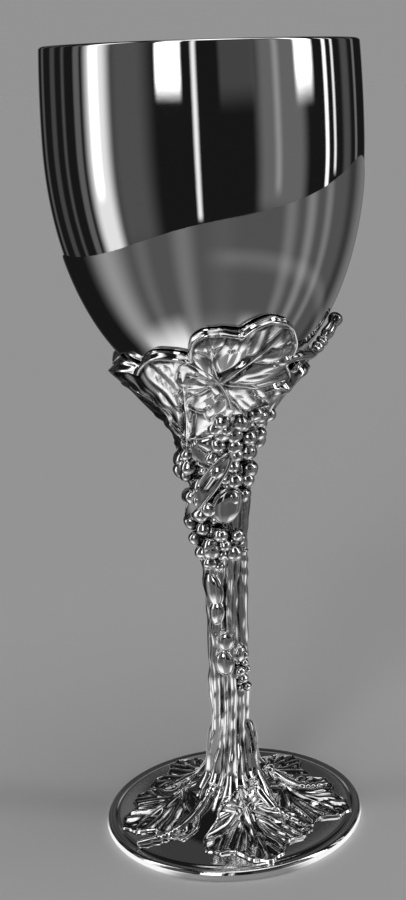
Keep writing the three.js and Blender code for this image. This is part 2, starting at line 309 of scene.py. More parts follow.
@dataclass(frozen=True)
class Finish:
    """Polished silver, with painted shade where its mesh marks it, made uneven by patina,
    and the smears and grain that wear and casting leave on it.

    The patina's and the smears' scales are shares of the grain's.
    """

    name: str
    bright: float
    # The tone where the painted shade is full.
    dark: float
    sheen_low: float
    sheen_high: float
    grain_scale: float
    grain_height: float
    # How the painted shade's amount is eased before use.
    shade_power: float = 1.0
    patina_scale: float = 0.3
    patina_layers: float = 4.0
    patina_range: tuple[float, float] = (0.25, 0.7)
    patina_least: float = 0.75
    smear_scale: float = 0.12
    smear_layers: float = 3.0
    smear_range: tuple[float, float] = (0.35, 0.7)
    layer_strength: float = 0.6
    grain_layers: float = 3.0
    grain_strength: float = 0.55

    def material(self) -> bpy.types.Material:
        """Build the node material.

        Returns:
            The material, darkened by the painted shade that the mesh carries.
        """
        made = bpy.data.materials.new(self.name)
        made.use_nodes = True
        shader = Shader(made.node_tree)
        place = shader.node("ShaderNodeTexCoord").outputs["Object"]
        # Painted shade: the mesh's per-point amount, eased and made a little uneven by patina noise,
        # mixes the colour from bright towards the shaded tone and roughens the sheen.
        hollow_shade = shader.node("ShaderNodeAttribute", attribute_name="hollow_shade").outputs["Fac"]
        scale = self.grain_scale * self.patina_scale
        patina = shader.noise(scale, self.patina_layers, place, self.layer_strength)
        depth = shader.math("POWER", hollow_shade, self.shade_power)
        share = shader.fit(patina, *self.patina_range, self.patina_least, 1.0)
        shade_and_patina = shader.math("MULTIPLY", depth, share)
        tone = shader.node("ShaderNodeMix", data_type="RGBA")
        shader.feed(tone.inputs["Factor"], shade_and_patina)
        shader.feed(tone.inputs["A"], (self.bright, self.bright, self.bright, 1.0))
        shader.feed(tone.inputs["B"], (self.dark, self.dark, self.dark, 1.0))
        scale = self.grain_scale * self.smear_scale
        smear = shader.noise(scale, self.smear_layers, place, self.layer_strength)
        rough = shader.math(
            "ADD",
            shader.fit(smear, *self.smear_range, self.sheen_low, self.sheen_high),
            shader.math("MULTIPLY", depth, self.sheen_high),
        )
        grain = shader.node("ShaderNodeBump")
        shader.feed(grain.inputs["Strength"], 1.0)
        shader.feed(grain.inputs["Distance"], self.grain_height * METRES)
        noise = shader.noise(self.grain_scale, self.grain_layers, place, self.grain_strength)
        shader.feed(grain.inputs["Height"], noise)
        body = shader.node("ShaderNodeBsdfPrincipled")
        body.inputs["Metallic"].default_value = 1.0
        shader.feed(body.inputs["Base Color"], tone.outputs["Result"])
        shader.feed(body.inputs["Roughness"], rough)
        shader.feed(body.inputs["Normal"], grain.outputs["Normal"])
        out = shader.node("ShaderNodeOutputMaterial")
        shader.feed(out.inputs["Surface"], body.outputs["BSDF"])
        return made


MIRROR_POLISH = Finish(
    name="mirror_polished_silver",
    bright=0.93,
    dark=0.5,
    # Tone for painted shade; the bowl's mesh marks none.
    sheen_low=0.012,
    sheen_high=0.04,
    grain_scale=260.0,
    grain_height=0.0025,
)
CAST_POLISH = Finish(
    name="cast_silver",
    bright=0.93,
    # Near-black tone for the painted shade in the casting's grooves, creases and valleys and under its
    # grapes and shoots.
    dark=0.02,
    sheen_low=0.02,
    sheen_high=0.08,
    grain_scale=1400.0,
    grain_height=0.016,
    shade_power=0.8,
)


@dataclass
class Bowl:
    """The tulip bowl, spun from sheet."""

    height: float = 200.0
    depth: float = 84.5
    belly_drop: float = 22.0
    rim_radius: float = 37.8
    belly_radius: float = 38.5
    wall: float = 1.2
    fullness: float = 2.05
    sides: int = 256
    outer_rings: tuple[int, int] = (64, 14)
    inner_rings: tuple[int, int] = (48, 12)
    edge_rings: int = 13

    @property
    def bottom(self) -> float:
        """Height of the outside of the bottom."""
        return self.height - self.depth

    @property
    def belly(self) -> float:
        """Height of the widest level."""
        return self.height - self.belly_drop

    def radius_at(self, height: Array, offset: float = 0.0) -> Array:
        """Find the bowl's radius below its widest level.

        Args:
            height: Heights above the table.
            offset: How far outside the bowl to measure.

        Returns:
            The radii.
        """
        depth = self.belly - self.bottom + offset
        share = np.clip((self.belly - np.asarray(height, float)) / depth, 0.0, 1.0)
        return (self.belly_radius + offset) * (1.0 - share**self.fullness) ** (1.0 / self.fullness)

    def side(self, offset: float, count: int) -> Array:
        """Trace the bowl's side from the middle of its bottom up to its widest level.

        Args:
            offset: How far outside the bowl to trace.
            count: How many points to give.

        Returns:
            Rows of radius and height.
        """
        turn = np.linspace(0.0, math.pi / 2.0, count)
        power = 2.0 / self.fullness
        radius = (self.belly_radius + offset) * np.sin(turn) ** power
        drop = (self.belly - self.bottom + offset) * np.clip(np.cos(turn), 0.0, 1.0) ** power
        return np.stack([radius, self.belly - drop], axis=1)

    def upper(self, offset: float, count: int) -> Array:
        """Trace the side from the widest level up to the rim's edge.

        Args:
            offset: How far outside the bowl to trace.
            count: How many points to give.

        Returns:
            Rows of radius and height.
        """
        share = np.linspace(0.0, 1.0, count + 1)[1:]
        radius = self.belly_radius + offset - (self.belly_radius - self.rim_radius) * share**2
        top = self.height - self.wall / 2.0
        return np.stack([radius, self.belly + share * (top - self.belly)], axis=1)

    def shell(self) -> Shell:
        """Build the bowl with its true wall and rounded rim.

        Returns:
            The closed mesh, from the outside of the bottom up over the rim and down the inside.
        """
        half = self.wall / 2.0
        turn = np.radians(np.linspace(0.0, 180.0, self.edge_rings))[1:-1]
        edge = np.stack(
            [
                self.rim_radius - half + half * np.cos(turn),
                self.height - half + half * np.sin(turn),
            ],
            axis=1,
        )
        low, high = self.outer_rings
        outside = np.concatenate([self.side(0.0, low)[1:], self.upper(0.0, high)])
        low, high = self.inner_rings
        inside = np.concatenate([self.side(-self.wall, low)[1:], self.upper(-self.wall, high)])
        profile = np.concatenate([outside, edge, inside[::-1]])
        angle = np.arange(self.sides) * 360.0 / self.sides
        rings = around(angle[None, :], profile[:, :1], profile[:, 1:])
        shell = Shell.lathed(rings, np.zeros(rings.shape[:2]))
        shell.points[-2] = (0.0, 0.0, self.bottom)
        shell.points[-1] = (0.0, 0.0, self.bottom + self.wall)
        return shell

    def build(self, finish: Finish) -> None:
        """Make the bowl and polish it."""
        self.shell().piece("bowl_polished", finish.material(), Slot.BOWL, "bowl")


class Guide:
    """A surface of revolution to lay leaves and grapes on.

    Its line runs up the casting's outside and on along the bowl.
    """

    def __init__(self, outline: Array) -> None:
        """Draw a smooth line through the outline.

        Args:
            outline: Rows of radius and height.
        """
        before = 2.0 * outline[:1] - outline[1:2]
        after = 2.0 * outline[-1:] - outline[-2:-1]
        knots = np.concatenate([before, outline, after])
        dense = [self._stretch(knots[i : i + 4]) for i in range(len(outline) - 1)]
        self.line = np.concatenate(dense + [outline[-1:]])
        steps = np.linalg.norm(np.diff(self.line, axis=0), axis=1)
        self.along = np.concatenate([[0.0], np.cumsum(steps)])
        way = np.gradient(self.line, self.along, axis=0)
        self.way = way / np.linalg.norm(way, axis=1, keepdims=True)

    @staticmethod
    def _stretch(knots: Array, count: int = 24) -> Array:
        """Draw one stretch of a centripetal spline.

        Args:
            knots: The four points about the stretch.
            count: How many points to give.

        Returns:
            Points from the second knot up to, but not with, the third.
        """
        gaps = np.linalg.norm(np.diff(knots, axis=0), axis=1) ** 0.5
        t0, t1, t2, t3 = np.concatenate([[0.0], np.cumsum(gaps)])
        t = np.linspace(t1, t2, count, endpoint=False)[:, None]
        a1 = (t1 - t) / (t1 - t0) * knots[0] + (t - t0) / (t1 - t0) * knots[1]
        a2 = (t2 - t) / (t2 - t1) * knots[1] + (t - t1) / (t2 - t1) * knots[2]
        a3 = (t3 - t) / (t3 - t2) * knots[2] + (t - t2) / (t3 - t2) * knots[3]
        b1 = (t2 - t) / (t2 - t0) * a1 + (t - t0) / (t2 - t0) * a2
        b2 = (t3 - t) / (t3 - t1) * a2 + (t - t1) / (t3 - t1) * a3
        return (t2 - t) / (t2 - t1) * b1 + (t - t1) / (t2 - t1) * b2

    def radius_at(self, along: Array) -> Array:
        """Give the radius at distances up the line."""
        return np.interp(along, self.along, self.line[:, 0])

    def height_at(self, along: Array) -> Array:
        """Give the height at distances up the line."""
        return np.interp(along, self.along, self.line[:, 1])

    def at_height(self, height: float) -> float:
        """Find how far up the line a height is reached."""
        return float(self.along[np.argmax(self.line[:, 1] >= height)])

    def at_radius(self, radius: Array) -> Array:
        """Find how far up the line, on the foot, the radius falls to a value."""
        low = int(np.argmin(self.line[:, 0]))
        return np.interp(-np.asarray(radius, float), -self.line[: low + 1, 0], self.along[: low + 1])

    def place(self, along: Array, angle: Array, lift: Array) -> Array:
        """Give points on the surface or lifted off it.

        Args:
            along: Distance up the line.
            angle: Degrees about the axis.
            lift: Height off the surface.

        Returns:
            One row of x, y, z per point.
        """
        rise = np.interp(along, self.along, self.way[:, 1])
        run = np.interp(along, self.along, self.way[:, 0])
        radius = self.radius_at(along) + lift * rise
        return around(angle, radius, self.height_at(along) - lift * run)


@dataclass(frozen=True)
class BarkWave:
    """One slanting ripple of the trunk's bark."""

    depth: float
    count: float
    slant: float
    ripple: float
    turns: float

    def height(self, around_trunk: Array, turned: Array, height: Array) -> Array:
        """Give how far the ripple stands out.

        Args:
            around_trunk: Angle about the axis, uneven with height, in radians.
            turned: Angle about the axis that follows the twist, in radians.
            height: Height above the table.

        Returns:
            The relief in millimetres.
        """
        across = np.sin(around_trunk * self.count + height * self.slant)
        return self.depth * across * np.sin(height * self.ripple + self.turns * turned)


@dataclass
class Trunk:
    """The casting's core: round foot, fluted trunk and the cup that seats the bowl.

    What begins or ends by a from or an until fades between two shares of the stem's height. A bend
    is how far a line wanders and how fast.
    """

    bowl: Bowl
    foot_radius: float = 34.0
    foot_edge: float = 3.0
    edge_round: float = 1.0
    stand_ring: float = 3.0
    foot_dish: float = 1.6
    flare_height: float = 14.5
    flare_power: float = 3.2
    trunk_radius: float = 4.8
    flute_count: int = 6
    flute_depth: float = 0.09
    root_depth: float = 0.17
    flute_twist: float = 40.0
    seat_clearance: float = 0.4
    cup_climb: float = 8.0
    cup_wall: float = 1.6
    leaf_reach: float = 24.0
    strand_height: float = 0.5
    root_strand_height: float = 0.35
    fold_height: float = 0.7
    fold_wave: tuple[float, float] = (7.0, 9.0)
    bark_sink: float = 0.3
    bark_bend: tuple[float, float] = (25.0, 0.11)
    strand_bend: tuple[float, float] = (0.7, 0.13)
    flutes_from: tuple[float, float] = (0.0, 0.1)
    flutes_until: tuple[float, float] = (0.74, 0.92)
    roots_until: tuple[float, float] = (0.02, 0.14)
    folds_from: tuple[float, float] = (0.8, 0.92)
    # Band, by share of the stem's height, of the painted shade round the trunk where the grapes hang.
    grapes_from: tuple[float, float] = (0.6, 0.7)
    grapes_until: tuple[float, float] = (0.9, 0.95)
    # Painted shade in the carving's valleys, by how far they sink.
    valley_shade: tuple[float, float] = (0.25, 0.75)
    bark: tuple[BarkWave, ...] = (
        BarkWave(0.24, 5.0, 0.17, 0.37, 3.0),
        BarkWave(0.14, 3.0, -0.33, 0.71, 2.0),
        BarkWave(0.07, 13.0, -0.4, 0.9, 5.0),
    )
    groove: tuple[tuple[float, float], ...] = ((0.35, 2.62), (0.8, 2.5), (1.2, 2.55), (1.6, 2.8))
    bead_until: float = 62.0
    bead_rings: int = 12
    crown_inset: float = 0.35
    crown_width: float = 1.35
    # Strength of the painted shade round the trunk where the grapes hang.
    grape_band_shade: float = 0.35
    sides: int = 240
    rings: int = 230
    outline: tuple[tuple[float, float], ...] = (
        (0.05, 1.26),
        (0.12, 1.05),
        (0.24, 1.0),
        (0.37, 0.95),
        (0.49, 0.98),
        (0.58, 1.12),
        (0.67, 1.34),
        (0.78, 1.52),
        (0.88, 1.86),
        (0.94, 2.38),
    )
    guide: Guide = field(init=False)

    def __post_init__(self) -> None:
        """Draw the guide surface from the sizes."""
        lip = self.lip_height
        shares = np.array([0.25, 0.5, 0.75, 1.0])
        heights = lip + shares * self.leaf_reach
        radii = self.bowl.radius_at(heights, self.seat_clearance * 1.6)
        along_bowl = np.stack([radii, heights], axis=1)
        self.guide = Guide(np.concatenate([self.casting_outline(), along_bowl]))

    @property
    def lip_height(self) -> float:
        """Height of the solid cup's lip."""
        return self.bowl.bottom + self.cup_climb

    @property
    def flare_radius(self) -> float:
        """Radius where the trunk begins to spread into the foot."""
        return self.trunk_radius * 1.5

    @property
    def plate_radius(self) -> float:
        """Radius of the foot's plate inside its rounded edge."""
        return self.foot_radius - self.edge_round

    def foot_top(self, radius: Array) -> Array:
        """Give the height of the foot's upper surface at a radius."""
        run = self.plate_radius - self.flare_radius
        share = np.clip((radius - self.flare_radius) / run, 0.0, 1.0)
        return self.foot_edge + (self.flare_height - self.foot_edge) * (1.0 - share) ** self.flare_power

    def casting_outline(self) -> Array:
        """Trace the casting's outside from the foot's edge to the lip.

        Returns:
            Rows of radius and height.
        """
        shares = np.array([1.0, 0.84, 0.68, 0.55, 0.42, 0.33, 0.24, 0.12, 0.04, 0.0])
        radii = self.flare_radius + shares * (self.plate_radius - self.flare_radius)
        foot = np.stack([radii, self.foot_top(radii)], axis=1)
        stem = self.bowl.bottom - self.flare_height
        shape = np.array(self.outline)
        heights = self.flare_height + shape[:, 0] * stem
        trunk = np.stack([shape[:, 1] * self.trunk_radius, heights], axis=1)
        neck = trunk[-1, 0]
        lip = float(self.bowl.radius_at(self.lip_height, self.seat_clearance)) + self.cup_wall
        cup = np.array(
            [
                (neck + 0.24 * (lip - neck), self.bowl.bottom - 0.02 * stem),
                (neck + 0.6 * (lip - neck), self.bowl.bottom + 0.35 * self.cup_climb),
                (lip, self.lip_height),
            ]
        )
        return np.concatenate([foot, trunk, cup])

    def carving(self, angle: Array, height: Array) -> Array:
        """Give how far the trunk's flutes and roots stand out, in millimetres.

        Args:
            angle: Degrees about the axis.
            height: Height above the table.

        Returns:
            The relief, above or below the plain surface.
        """
        stem = self.bowl.bottom - self.flare_height
        share = (height - self.flare_height) / stem
        turned = np.radians(angle - self.flute_twist * share)
        bend, pace = self.bark_bend
        fine = np.radians(angle + bend * np.sin(height * pace))
        ridges = 2.0 * np.abs(np.cos(turned * self.flute_count / 2.0)) - 1.0
        bend, pace = self.strand_bend
        wander = bend * np.sin(height * pace)
        strands = 2.0 * np.abs(np.cos(turned * self.flute_count + wander)) ** 0.9 - 1.0
        flutes = smoothstep(*self.flutes_from, share) * (1.0 - smoothstep(*self.flutes_until, share))
        roots = smoothstep(self.flare_height * 0.2, self.flare_height, height)
        roots = roots * (1.0 - smoothstep(*self.roots_until, share))
        bark = sum(wave.height(fine, turned, height) for wave in self.bark)
        count, slant = self.fold_wave
        folds = smoothstep(*self.folds_from, share) * self.fold_height
        folds = folds * (np.abs(np.sin(fine * count + share * slant)) - 0.5)
        root_ridges = self.root_depth * 1.2 * self.trunk_radius * ridges
        flute_ridges = self.flute_depth * 1.1 * self.trunk_radius * ridges
        low = roots * (root_ridges + self.root_strand_height * strands)
        high = flutes * (flute_ridges + self.strand_height * strands + bark - self.bark_sink)
        return low + high + folds

    def shell(self) -> Shell:
        """Build the core as one closed turned form with its carving.

        Returns:
            The closed mesh, with painted shade between the ridges and round the trunk where the grapes
            hang.
        """
        ring = self.plate_radius
        inner = ring - self.stand_ring
        turn = np.radians(np.linspace(-90.0, self.bead_until, self.bead_rings))
        half = self.foot_edge / 2.0
        crown = ring - self.crown_inset + self.crown_width * np.cos(turn)
        bead = np.stack([crown, half + half * np.sin(turn)], axis=1)
        groove = np.array([(ring - inset, height) for inset, height in self.groove])
        under = np.array(
            [
                (inner * 0.2, self.foot_dish),
                (inner * 0.6, self.foot_dish * 0.9),
                (inner - self.foot_dish, self.foot_dish * 0.6),
                (inner - 0.2, 0.12),
                (inner, 0.0),
                (ring - 1.0, 0.0),
            ]
        )
        start = float(self.guide.at_radius(ring - 2.0))
        end = self.guide.at_height(self.lip_height)
        along = np.concatenate([np.linspace(start, end, self.rings), [end]])
        side = np.stack([self.guide.radius_at(along), self.guide.height_at(along)], axis=1)
        seat = self.bowl.side(self.seat_clearance, 120)
        seat = seat[seat[:, 1] < self.lip_height - 0.3][::-1][:-1:4]
        profile = np.concatenate([under, bead, groove, side, seat])
        angle = np.arange(self.sides) * 360.0 / self.sides
        radius = profile[:, :1] + np.zeros((1, self.sides))
        height = profile[:, 1:] + np.zeros((1, self.sides))
        outer = np.zeros(len(profile), bool)
        outer[len(under) + len(bead) + len(groove) : len(profile) - len(seat) - 2] = True
        relief = np.where(outer[:, None], self.carving(angle[None, :], height), 0.0)
        share = (height - self.flare_height) / (self.bowl.bottom - self.flare_height)
        on_trunk = outer[:, None] * smoothstep(-0.05, 0.05, share)
        # Painted shade: darker in the carving's valleys and round the trunk where the grapes hang.
        hollow_shade = smoothstep(*self.valley_shade, -relief) * on_trunk
        among_grapes = smoothstep(*self.grapes_from, share)
        among_grapes = among_grapes * (1.0 - smoothstep(*self.grapes_until, share))
        hollow_shade = np.maximum(hollow_shade, self.grape_band_shade * on_trunk * among_grapes)
        return Shell.lathed(around(angle[None, :], radius + relief, height), hollow_shade)


@dataclass
class Leaf:
    """A leaf: lobed or slender, ribbed and veined, with a rounded edge that may stand off outward.

    The edge's band, where the inside starts and the painted shade line beside the bead are in bead
    radii. The groove beside a vein is given by its distance, width and depth as shares of the vein's.
    """

    length: float
    lobes: tuple[float, ...] | None = (1.0, 0.9, 0.62, 0.45, 0.62, 0.9)
    bay_depth: float = 0.3
    lobe_power: float = 2.0
    slimness: float = 2.0
    thickness: float = 1.1
    puff: float = 1.5
    curl: float = 0.8
    lips: tuple[tuple[float, float, float], ...] = ()
    bead: float = 0.5
    lip_bead: float = 0.55
    vein_height: float = 0.55
    vein_width: float = 0.5
    rib_height: float = 0.6
    rib_pitch: float = 4.2
    rib_slope: float = 1.3
    teeth: float = 0.03
    crumple: float = 0.0
    settled: float = 0.0
    teeth_count: float = 24.0
    vein_reach: float = 0.9
    side_vein: float = 0.45
    vein_taper: float = 0.55
    vein_groove: tuple[float, float, float] = (2.0, 0.8, 0.75)
    groove_clear: float = 2.5
    rib_bend: float = 0.03
    rib_round: float = 0.7
    rib_level: float = 0.6
    ribs_from: tuple[float, float] = (0.1, 0.4)
    # Width of the painted shade in the rib creases.
    crease_shade_width: tuple[float, float] = (0.02, 0.4)
    edge_band: float = 2.6
    edge_rings: int = 11
    inside_from: tuple[float, float] = (1.8, 2.5)
    # Place and width of the painted shade line along the foot of the bead.
    bead_shade_line: tuple[float, float] = (2.35, 0.45)
    spokes: int = 180
    rings: int = 30

    def edge(self, direction: Array) -> Array:
        """Give the leaf's reach, as a share of its length, in directions from its tip.

        Args:
            direction: Degrees from the tip, clockwise seen from outside.

        Returns:
            The shares.
        """
        if self.lobes is None:
            turn = np.radians(direction)
            return 1.0 / np.hypot(np.cos(turn), np.sin(turn) * self.slimness)
        lengths = np.array(self.lobes)
        share = (direction % 360.0) * len(lengths) / 360.0
        before = np.floor(share).astype(int) % len(lengths)
        after = (before + 1) % len(lengths)
        past = share - np.floor(share)
        bay = (1.0 - self.bay_depth) * 0.5 * (lengths[before] + lengths[after])
        near = np.where(past < 0.5, lengths[before], lengths[after])
        away = 2.0 * np.minimum(past, 1.0 - past)
        reach = near + (bay - near) * away**self.lobe_power
        saw = 0.5 - 0.5 * np.cos(np.radians(direction * self.teeth_count))
        return reach * (1.0 - self.teeth * saw * (1.0 - self.standing(direction)))

    def veins(self) -> list[tuple[Array, Array, float, float]]:
        """Lay out the main veins on the flat leaf, none where their height is 0.

        Returns:
            For each vein its two ends, its height and its half width.
        """
        laid = []
        count = (len(self.lobes) if self.lobes is not None else 1) if self.vein_height > 0.0 else 0
        for k in range(count):
            axis = 360.0 * k / count
            reach = self.vein_reach * self.length * float(self.edge(np.array([axis]))[0])
            way = np.array([math.sin(math.radians(axis)), math.cos(math.radians(axis))])
            share = 1.0 if axis == 0.0 else self.side_vein
            size = (self.vein_height * share, self.vein_width * share)
            laid.append((np.zeros(2), way * reach, *size))
        return laid

    def vein_relief(self, flat: Array) -> tuple[Array, Array]:
        """Raise the veins, with a sunk line along each side of them.

        Args:
            flat: Points of the leaf laid flat.

        Returns:
            The relief in millimetres, and how much painted shade each point gets in the grooves.
        """
        ridge = np.zeros(len(flat))
        groove = np.zeros(len(flat))
        off, broad, depth = self.vein_groove
        for start, end, height, width in self.veins():
            way = end - start
            share = np.clip(((flat - start) @ way) / (way @ way), 0.0, 1.0)
            gap = np.linalg.norm(flat - start - share[:, None] * way, axis=1)
            taper = 1.0 - self.vein_taper * share
            spread = width * taper
            ridge = np.maximum(ridge, height * taper * np.exp(-((gap / spread) ** 2)))
            sunk = np.exp(-(((gap - off * spread) / (broad * spread)) ** 2))
            groove = np.maximum(groove, height * taper * depth * sunk)
        groove = groove * np.clip(1.0 - ridge * self.groove_clear, 0.0, 1.0)
        return ridge - groove, groove

    def ribs(self, flat_reach: Array, direction: Array) -> tuple[Array, Array]:
        """Give the side ribs: rounded pads with sharp creases between them.

        Args:
            flat_reach: Distance from the stalk, one row per ring.
            direction: Degrees of the spokes.

        Returns:
            The pads' height, and how much painted shade each point gets in the creases.
        """
        if self.lobes is None:
            return np.zeros_like(flat_reach), np.zeros_like(flat_reach)
        sector = 360.0 / len(self.lobes)
        off = np.radians((direction + sector / 2.0) % sector - sector / 2.0)[None, :]
        along = flat_reach * np.cos(off)
        aside = np.abs(flat_reach * np.sin(off))
        course = along - self.rib_slope * aside - aside**2 * self.rib_bend
        wave = np.abs(np.sin(math.pi * course / self.rib_pitch))
        inner = smoothstep(*self.ribs_from, flat_reach / self.length)
        creases = inner * (1.0 - smoothstep(*self.crease_shade_width, wave))
        return self.rib_height * inner * (wave**self.rib_round - self.rib_level), creases

    def flare(self, direction: Array, fade: float, most: float = math.inf) -> Array:
        """Give how far the edge stands off in each direction.

        Args:
            direction: Degrees from the tip.
            fade: The share of a lip's width from which it falls away.
            most: The most to give.

        Returns:
            Heights in millimetres.
        """
        height = np.zeros_like(direction)
        for centre, width, amount in self.lips:
            off = np.abs((direction - centre + 180.0) % 360.0 - 180.0)
            lip = min(most, amount) * (1.0 - smoothstep(fade, 1.0, off / width))
            height = np.maximum(height, lip)
        return height

    def standing(self, direction: Array) -> Array:
        """Give how strongly the edge stands off, as shares from 0 to 1."""
        return self.flare(direction, 0.5, 1.0)

    def shell(self, spread: Spread) -> Shell:
        """Build the leaf on what carries it.

        Args:
            spread: Lays flat points on the carrier, given across, up, lift, and a flag that is 1
                on the leaf's back and 0 on its face.

        Returns:
            The closed leaf.
        """
        face = self._sheet(self.rings, 0.0, spread)
        back = self._sheet(self.rings // 2, 1.0, spread)
        rings = np.concatenate([back[0], face[0][::-1]])
        hollow_shade = np.concatenate([back[1], face[1][::-1]])
        return Shell.lathed(rings[:, ::-1], hollow_shade[:, ::-1])

    def _sheet(self, rings: int, back: float, spread: Spread) -> tuple[Array, Array]:
        """Build one side of the leaf as rings about its stalk.

        Args:
            rings: How many rings it has inside its rounded edge.
            back: 1 for the leaf's back, 0 for its face.
            spread: Lays flat points on the carrier.

        Returns:
            The rings' points, and how much painted shade each gets.
        """
        direction = np.arange(self.spokes) * 360.0 / self.spokes
        turn = np.radians(direction)
        reach = self.length * self.edge(direction)
        change = np.gradient(np.concatenate([reach[-1:], reach, reach[:1]]))[1:-1]
        slant = np.hypot(1.0, change / reach / turn[1])
        bead = (self.bead + self.lip_bead * self.standing(direction))[None, :]
        wide = self.edge_band * bead * np.minimum(slant, 1.8)[None, :]
        band = np.minimum(wide, 0.5 * reach[None, :])
        inner = np.linspace(0.0, 1.0, rings + 1)[1:, None] * (reach[None, :] - band)
        past = np.linspace(0.0, 1.0, self.edge_rings)[1:, None] ** 0.8
        outer = reach[None, :] - band * (1.0 - past)
        flat_reach = np.concatenate([inner, outer if back < 0.5 else outer[4:-1:3]])
        out = flat_reach / reach[None, :]
        gap = self.edge_band * bead * (reach[None, :] - flat_reach) / band
        u = flat_reach * np.sin(turn)[None, :]
        v = flat_reach * np.cos(turn)[None, :]
        lobed = 1.0 if self.lobes is not None else 0.0
        between = np.sin(turn * (len(self.lobes) if self.lobes else 2) / 2.0)[None, :] ** 2
        swell = self.puff * lobed * between * out * (1.3 - out) + self.curl * out**3
        stand_off = self.flare(direction, 0.4)[None, :] * smoothstep(0.25, 1.0, out) ** 1.3
        lift = self.thickness + swell + stand_off
        dark = np.zeros(out.shape)
        if back < 0.5:
            flat = np.stack([u.ravel(), v.ravel()], axis=1)
            relief, groove = (a.reshape(out.shape) for a in self.vein_relief(flat))
            pads, creases = self.ribs(flat_reach, direction)
            inside = smoothstep(*self.inside_from, gap / bead)
            tall = max(self.vein_height, 0.1)
            on_rib = 1.0 - np.clip(relief / tall * 1.5, 0.0, 1.0)
            along_u = np.sin(0.5 * u + 1.3 * np.sin(0.3 * v))
            along_v = np.sin(0.45 * v + 1.7 * np.sin(0.28 * u))
            pads = pads + self.crumple * along_u * along_v
            lift = lift + inside * (relief + pads * on_rib) - 0.25 * self.thickness * (1.0 - inside)
            lift = lift + np.sqrt(np.maximum(0.0, bead**2 - (gap - bead) ** 2))
            fall = self.settled * (1.0 - smoothstep(0.0, 1.2, gap / bead))
            lift = lift * (1.0 - fall) - 0.2 * fall
            # Painted shade: in the vein grooves and the rib creases, and a painted shade line along the
            # foot of the bead.
            away, width = self.bead_shade_line
            beside_bead = np.exp(-(((gap - away * bead) / (width * bead)) ** 2))
            dark = np.clip(groove / (0.5 * tall), 0.0, 1.0) * inside
            dark = np.maximum(dark, 0.9 * creases * inside * on_rib)
            dark = np.maximum(dark, beside_bead)
        else:
            lift = lift - self.thickness * 1.1
        return spread(u, v, lift, np.full(u.shape, back)), np.clip(dark, 0.0, 1.0)


@dataclass(frozen=True)
class LaidLeaf:
    """Where a broad leaf lies: angle of its stalk, turn of its tip, length, and its own edge."""

    angle: float
    turn: float
    length: float
    rise: float = 0.0
    lobes: tuple[float, ...] = (1.0, 0.84, 0.36, 0.26, 0.36, 0.95)
    lips: tuple[tuple[float, float, float], ...] = ((-20.0, 60.0, 0.1),)


@dataclass(frozen=True)
class LaidBud:
    """Where a slender leaf or bud lies on the stem, and how far it stands out and is domed."""

    angle: float
    share: float
    turn: float
    length: float
    slimness: float
    proud: float
    dome: float = 0.0


@dataclass(frozen=True)
class Bunch:
    """A hanging bunch of grapes: angles of its top and tail, height share, rows and grape size."""

    top: float
    tail: float
    start: float
    rows: tuple[int, ...]
    size: float


@dataclass(frozen=True)
class Root:
    """A root on the foot: its angle at the trunk and at its end, and its reach over the plate."""

    start: float
    end: float
    reach: float


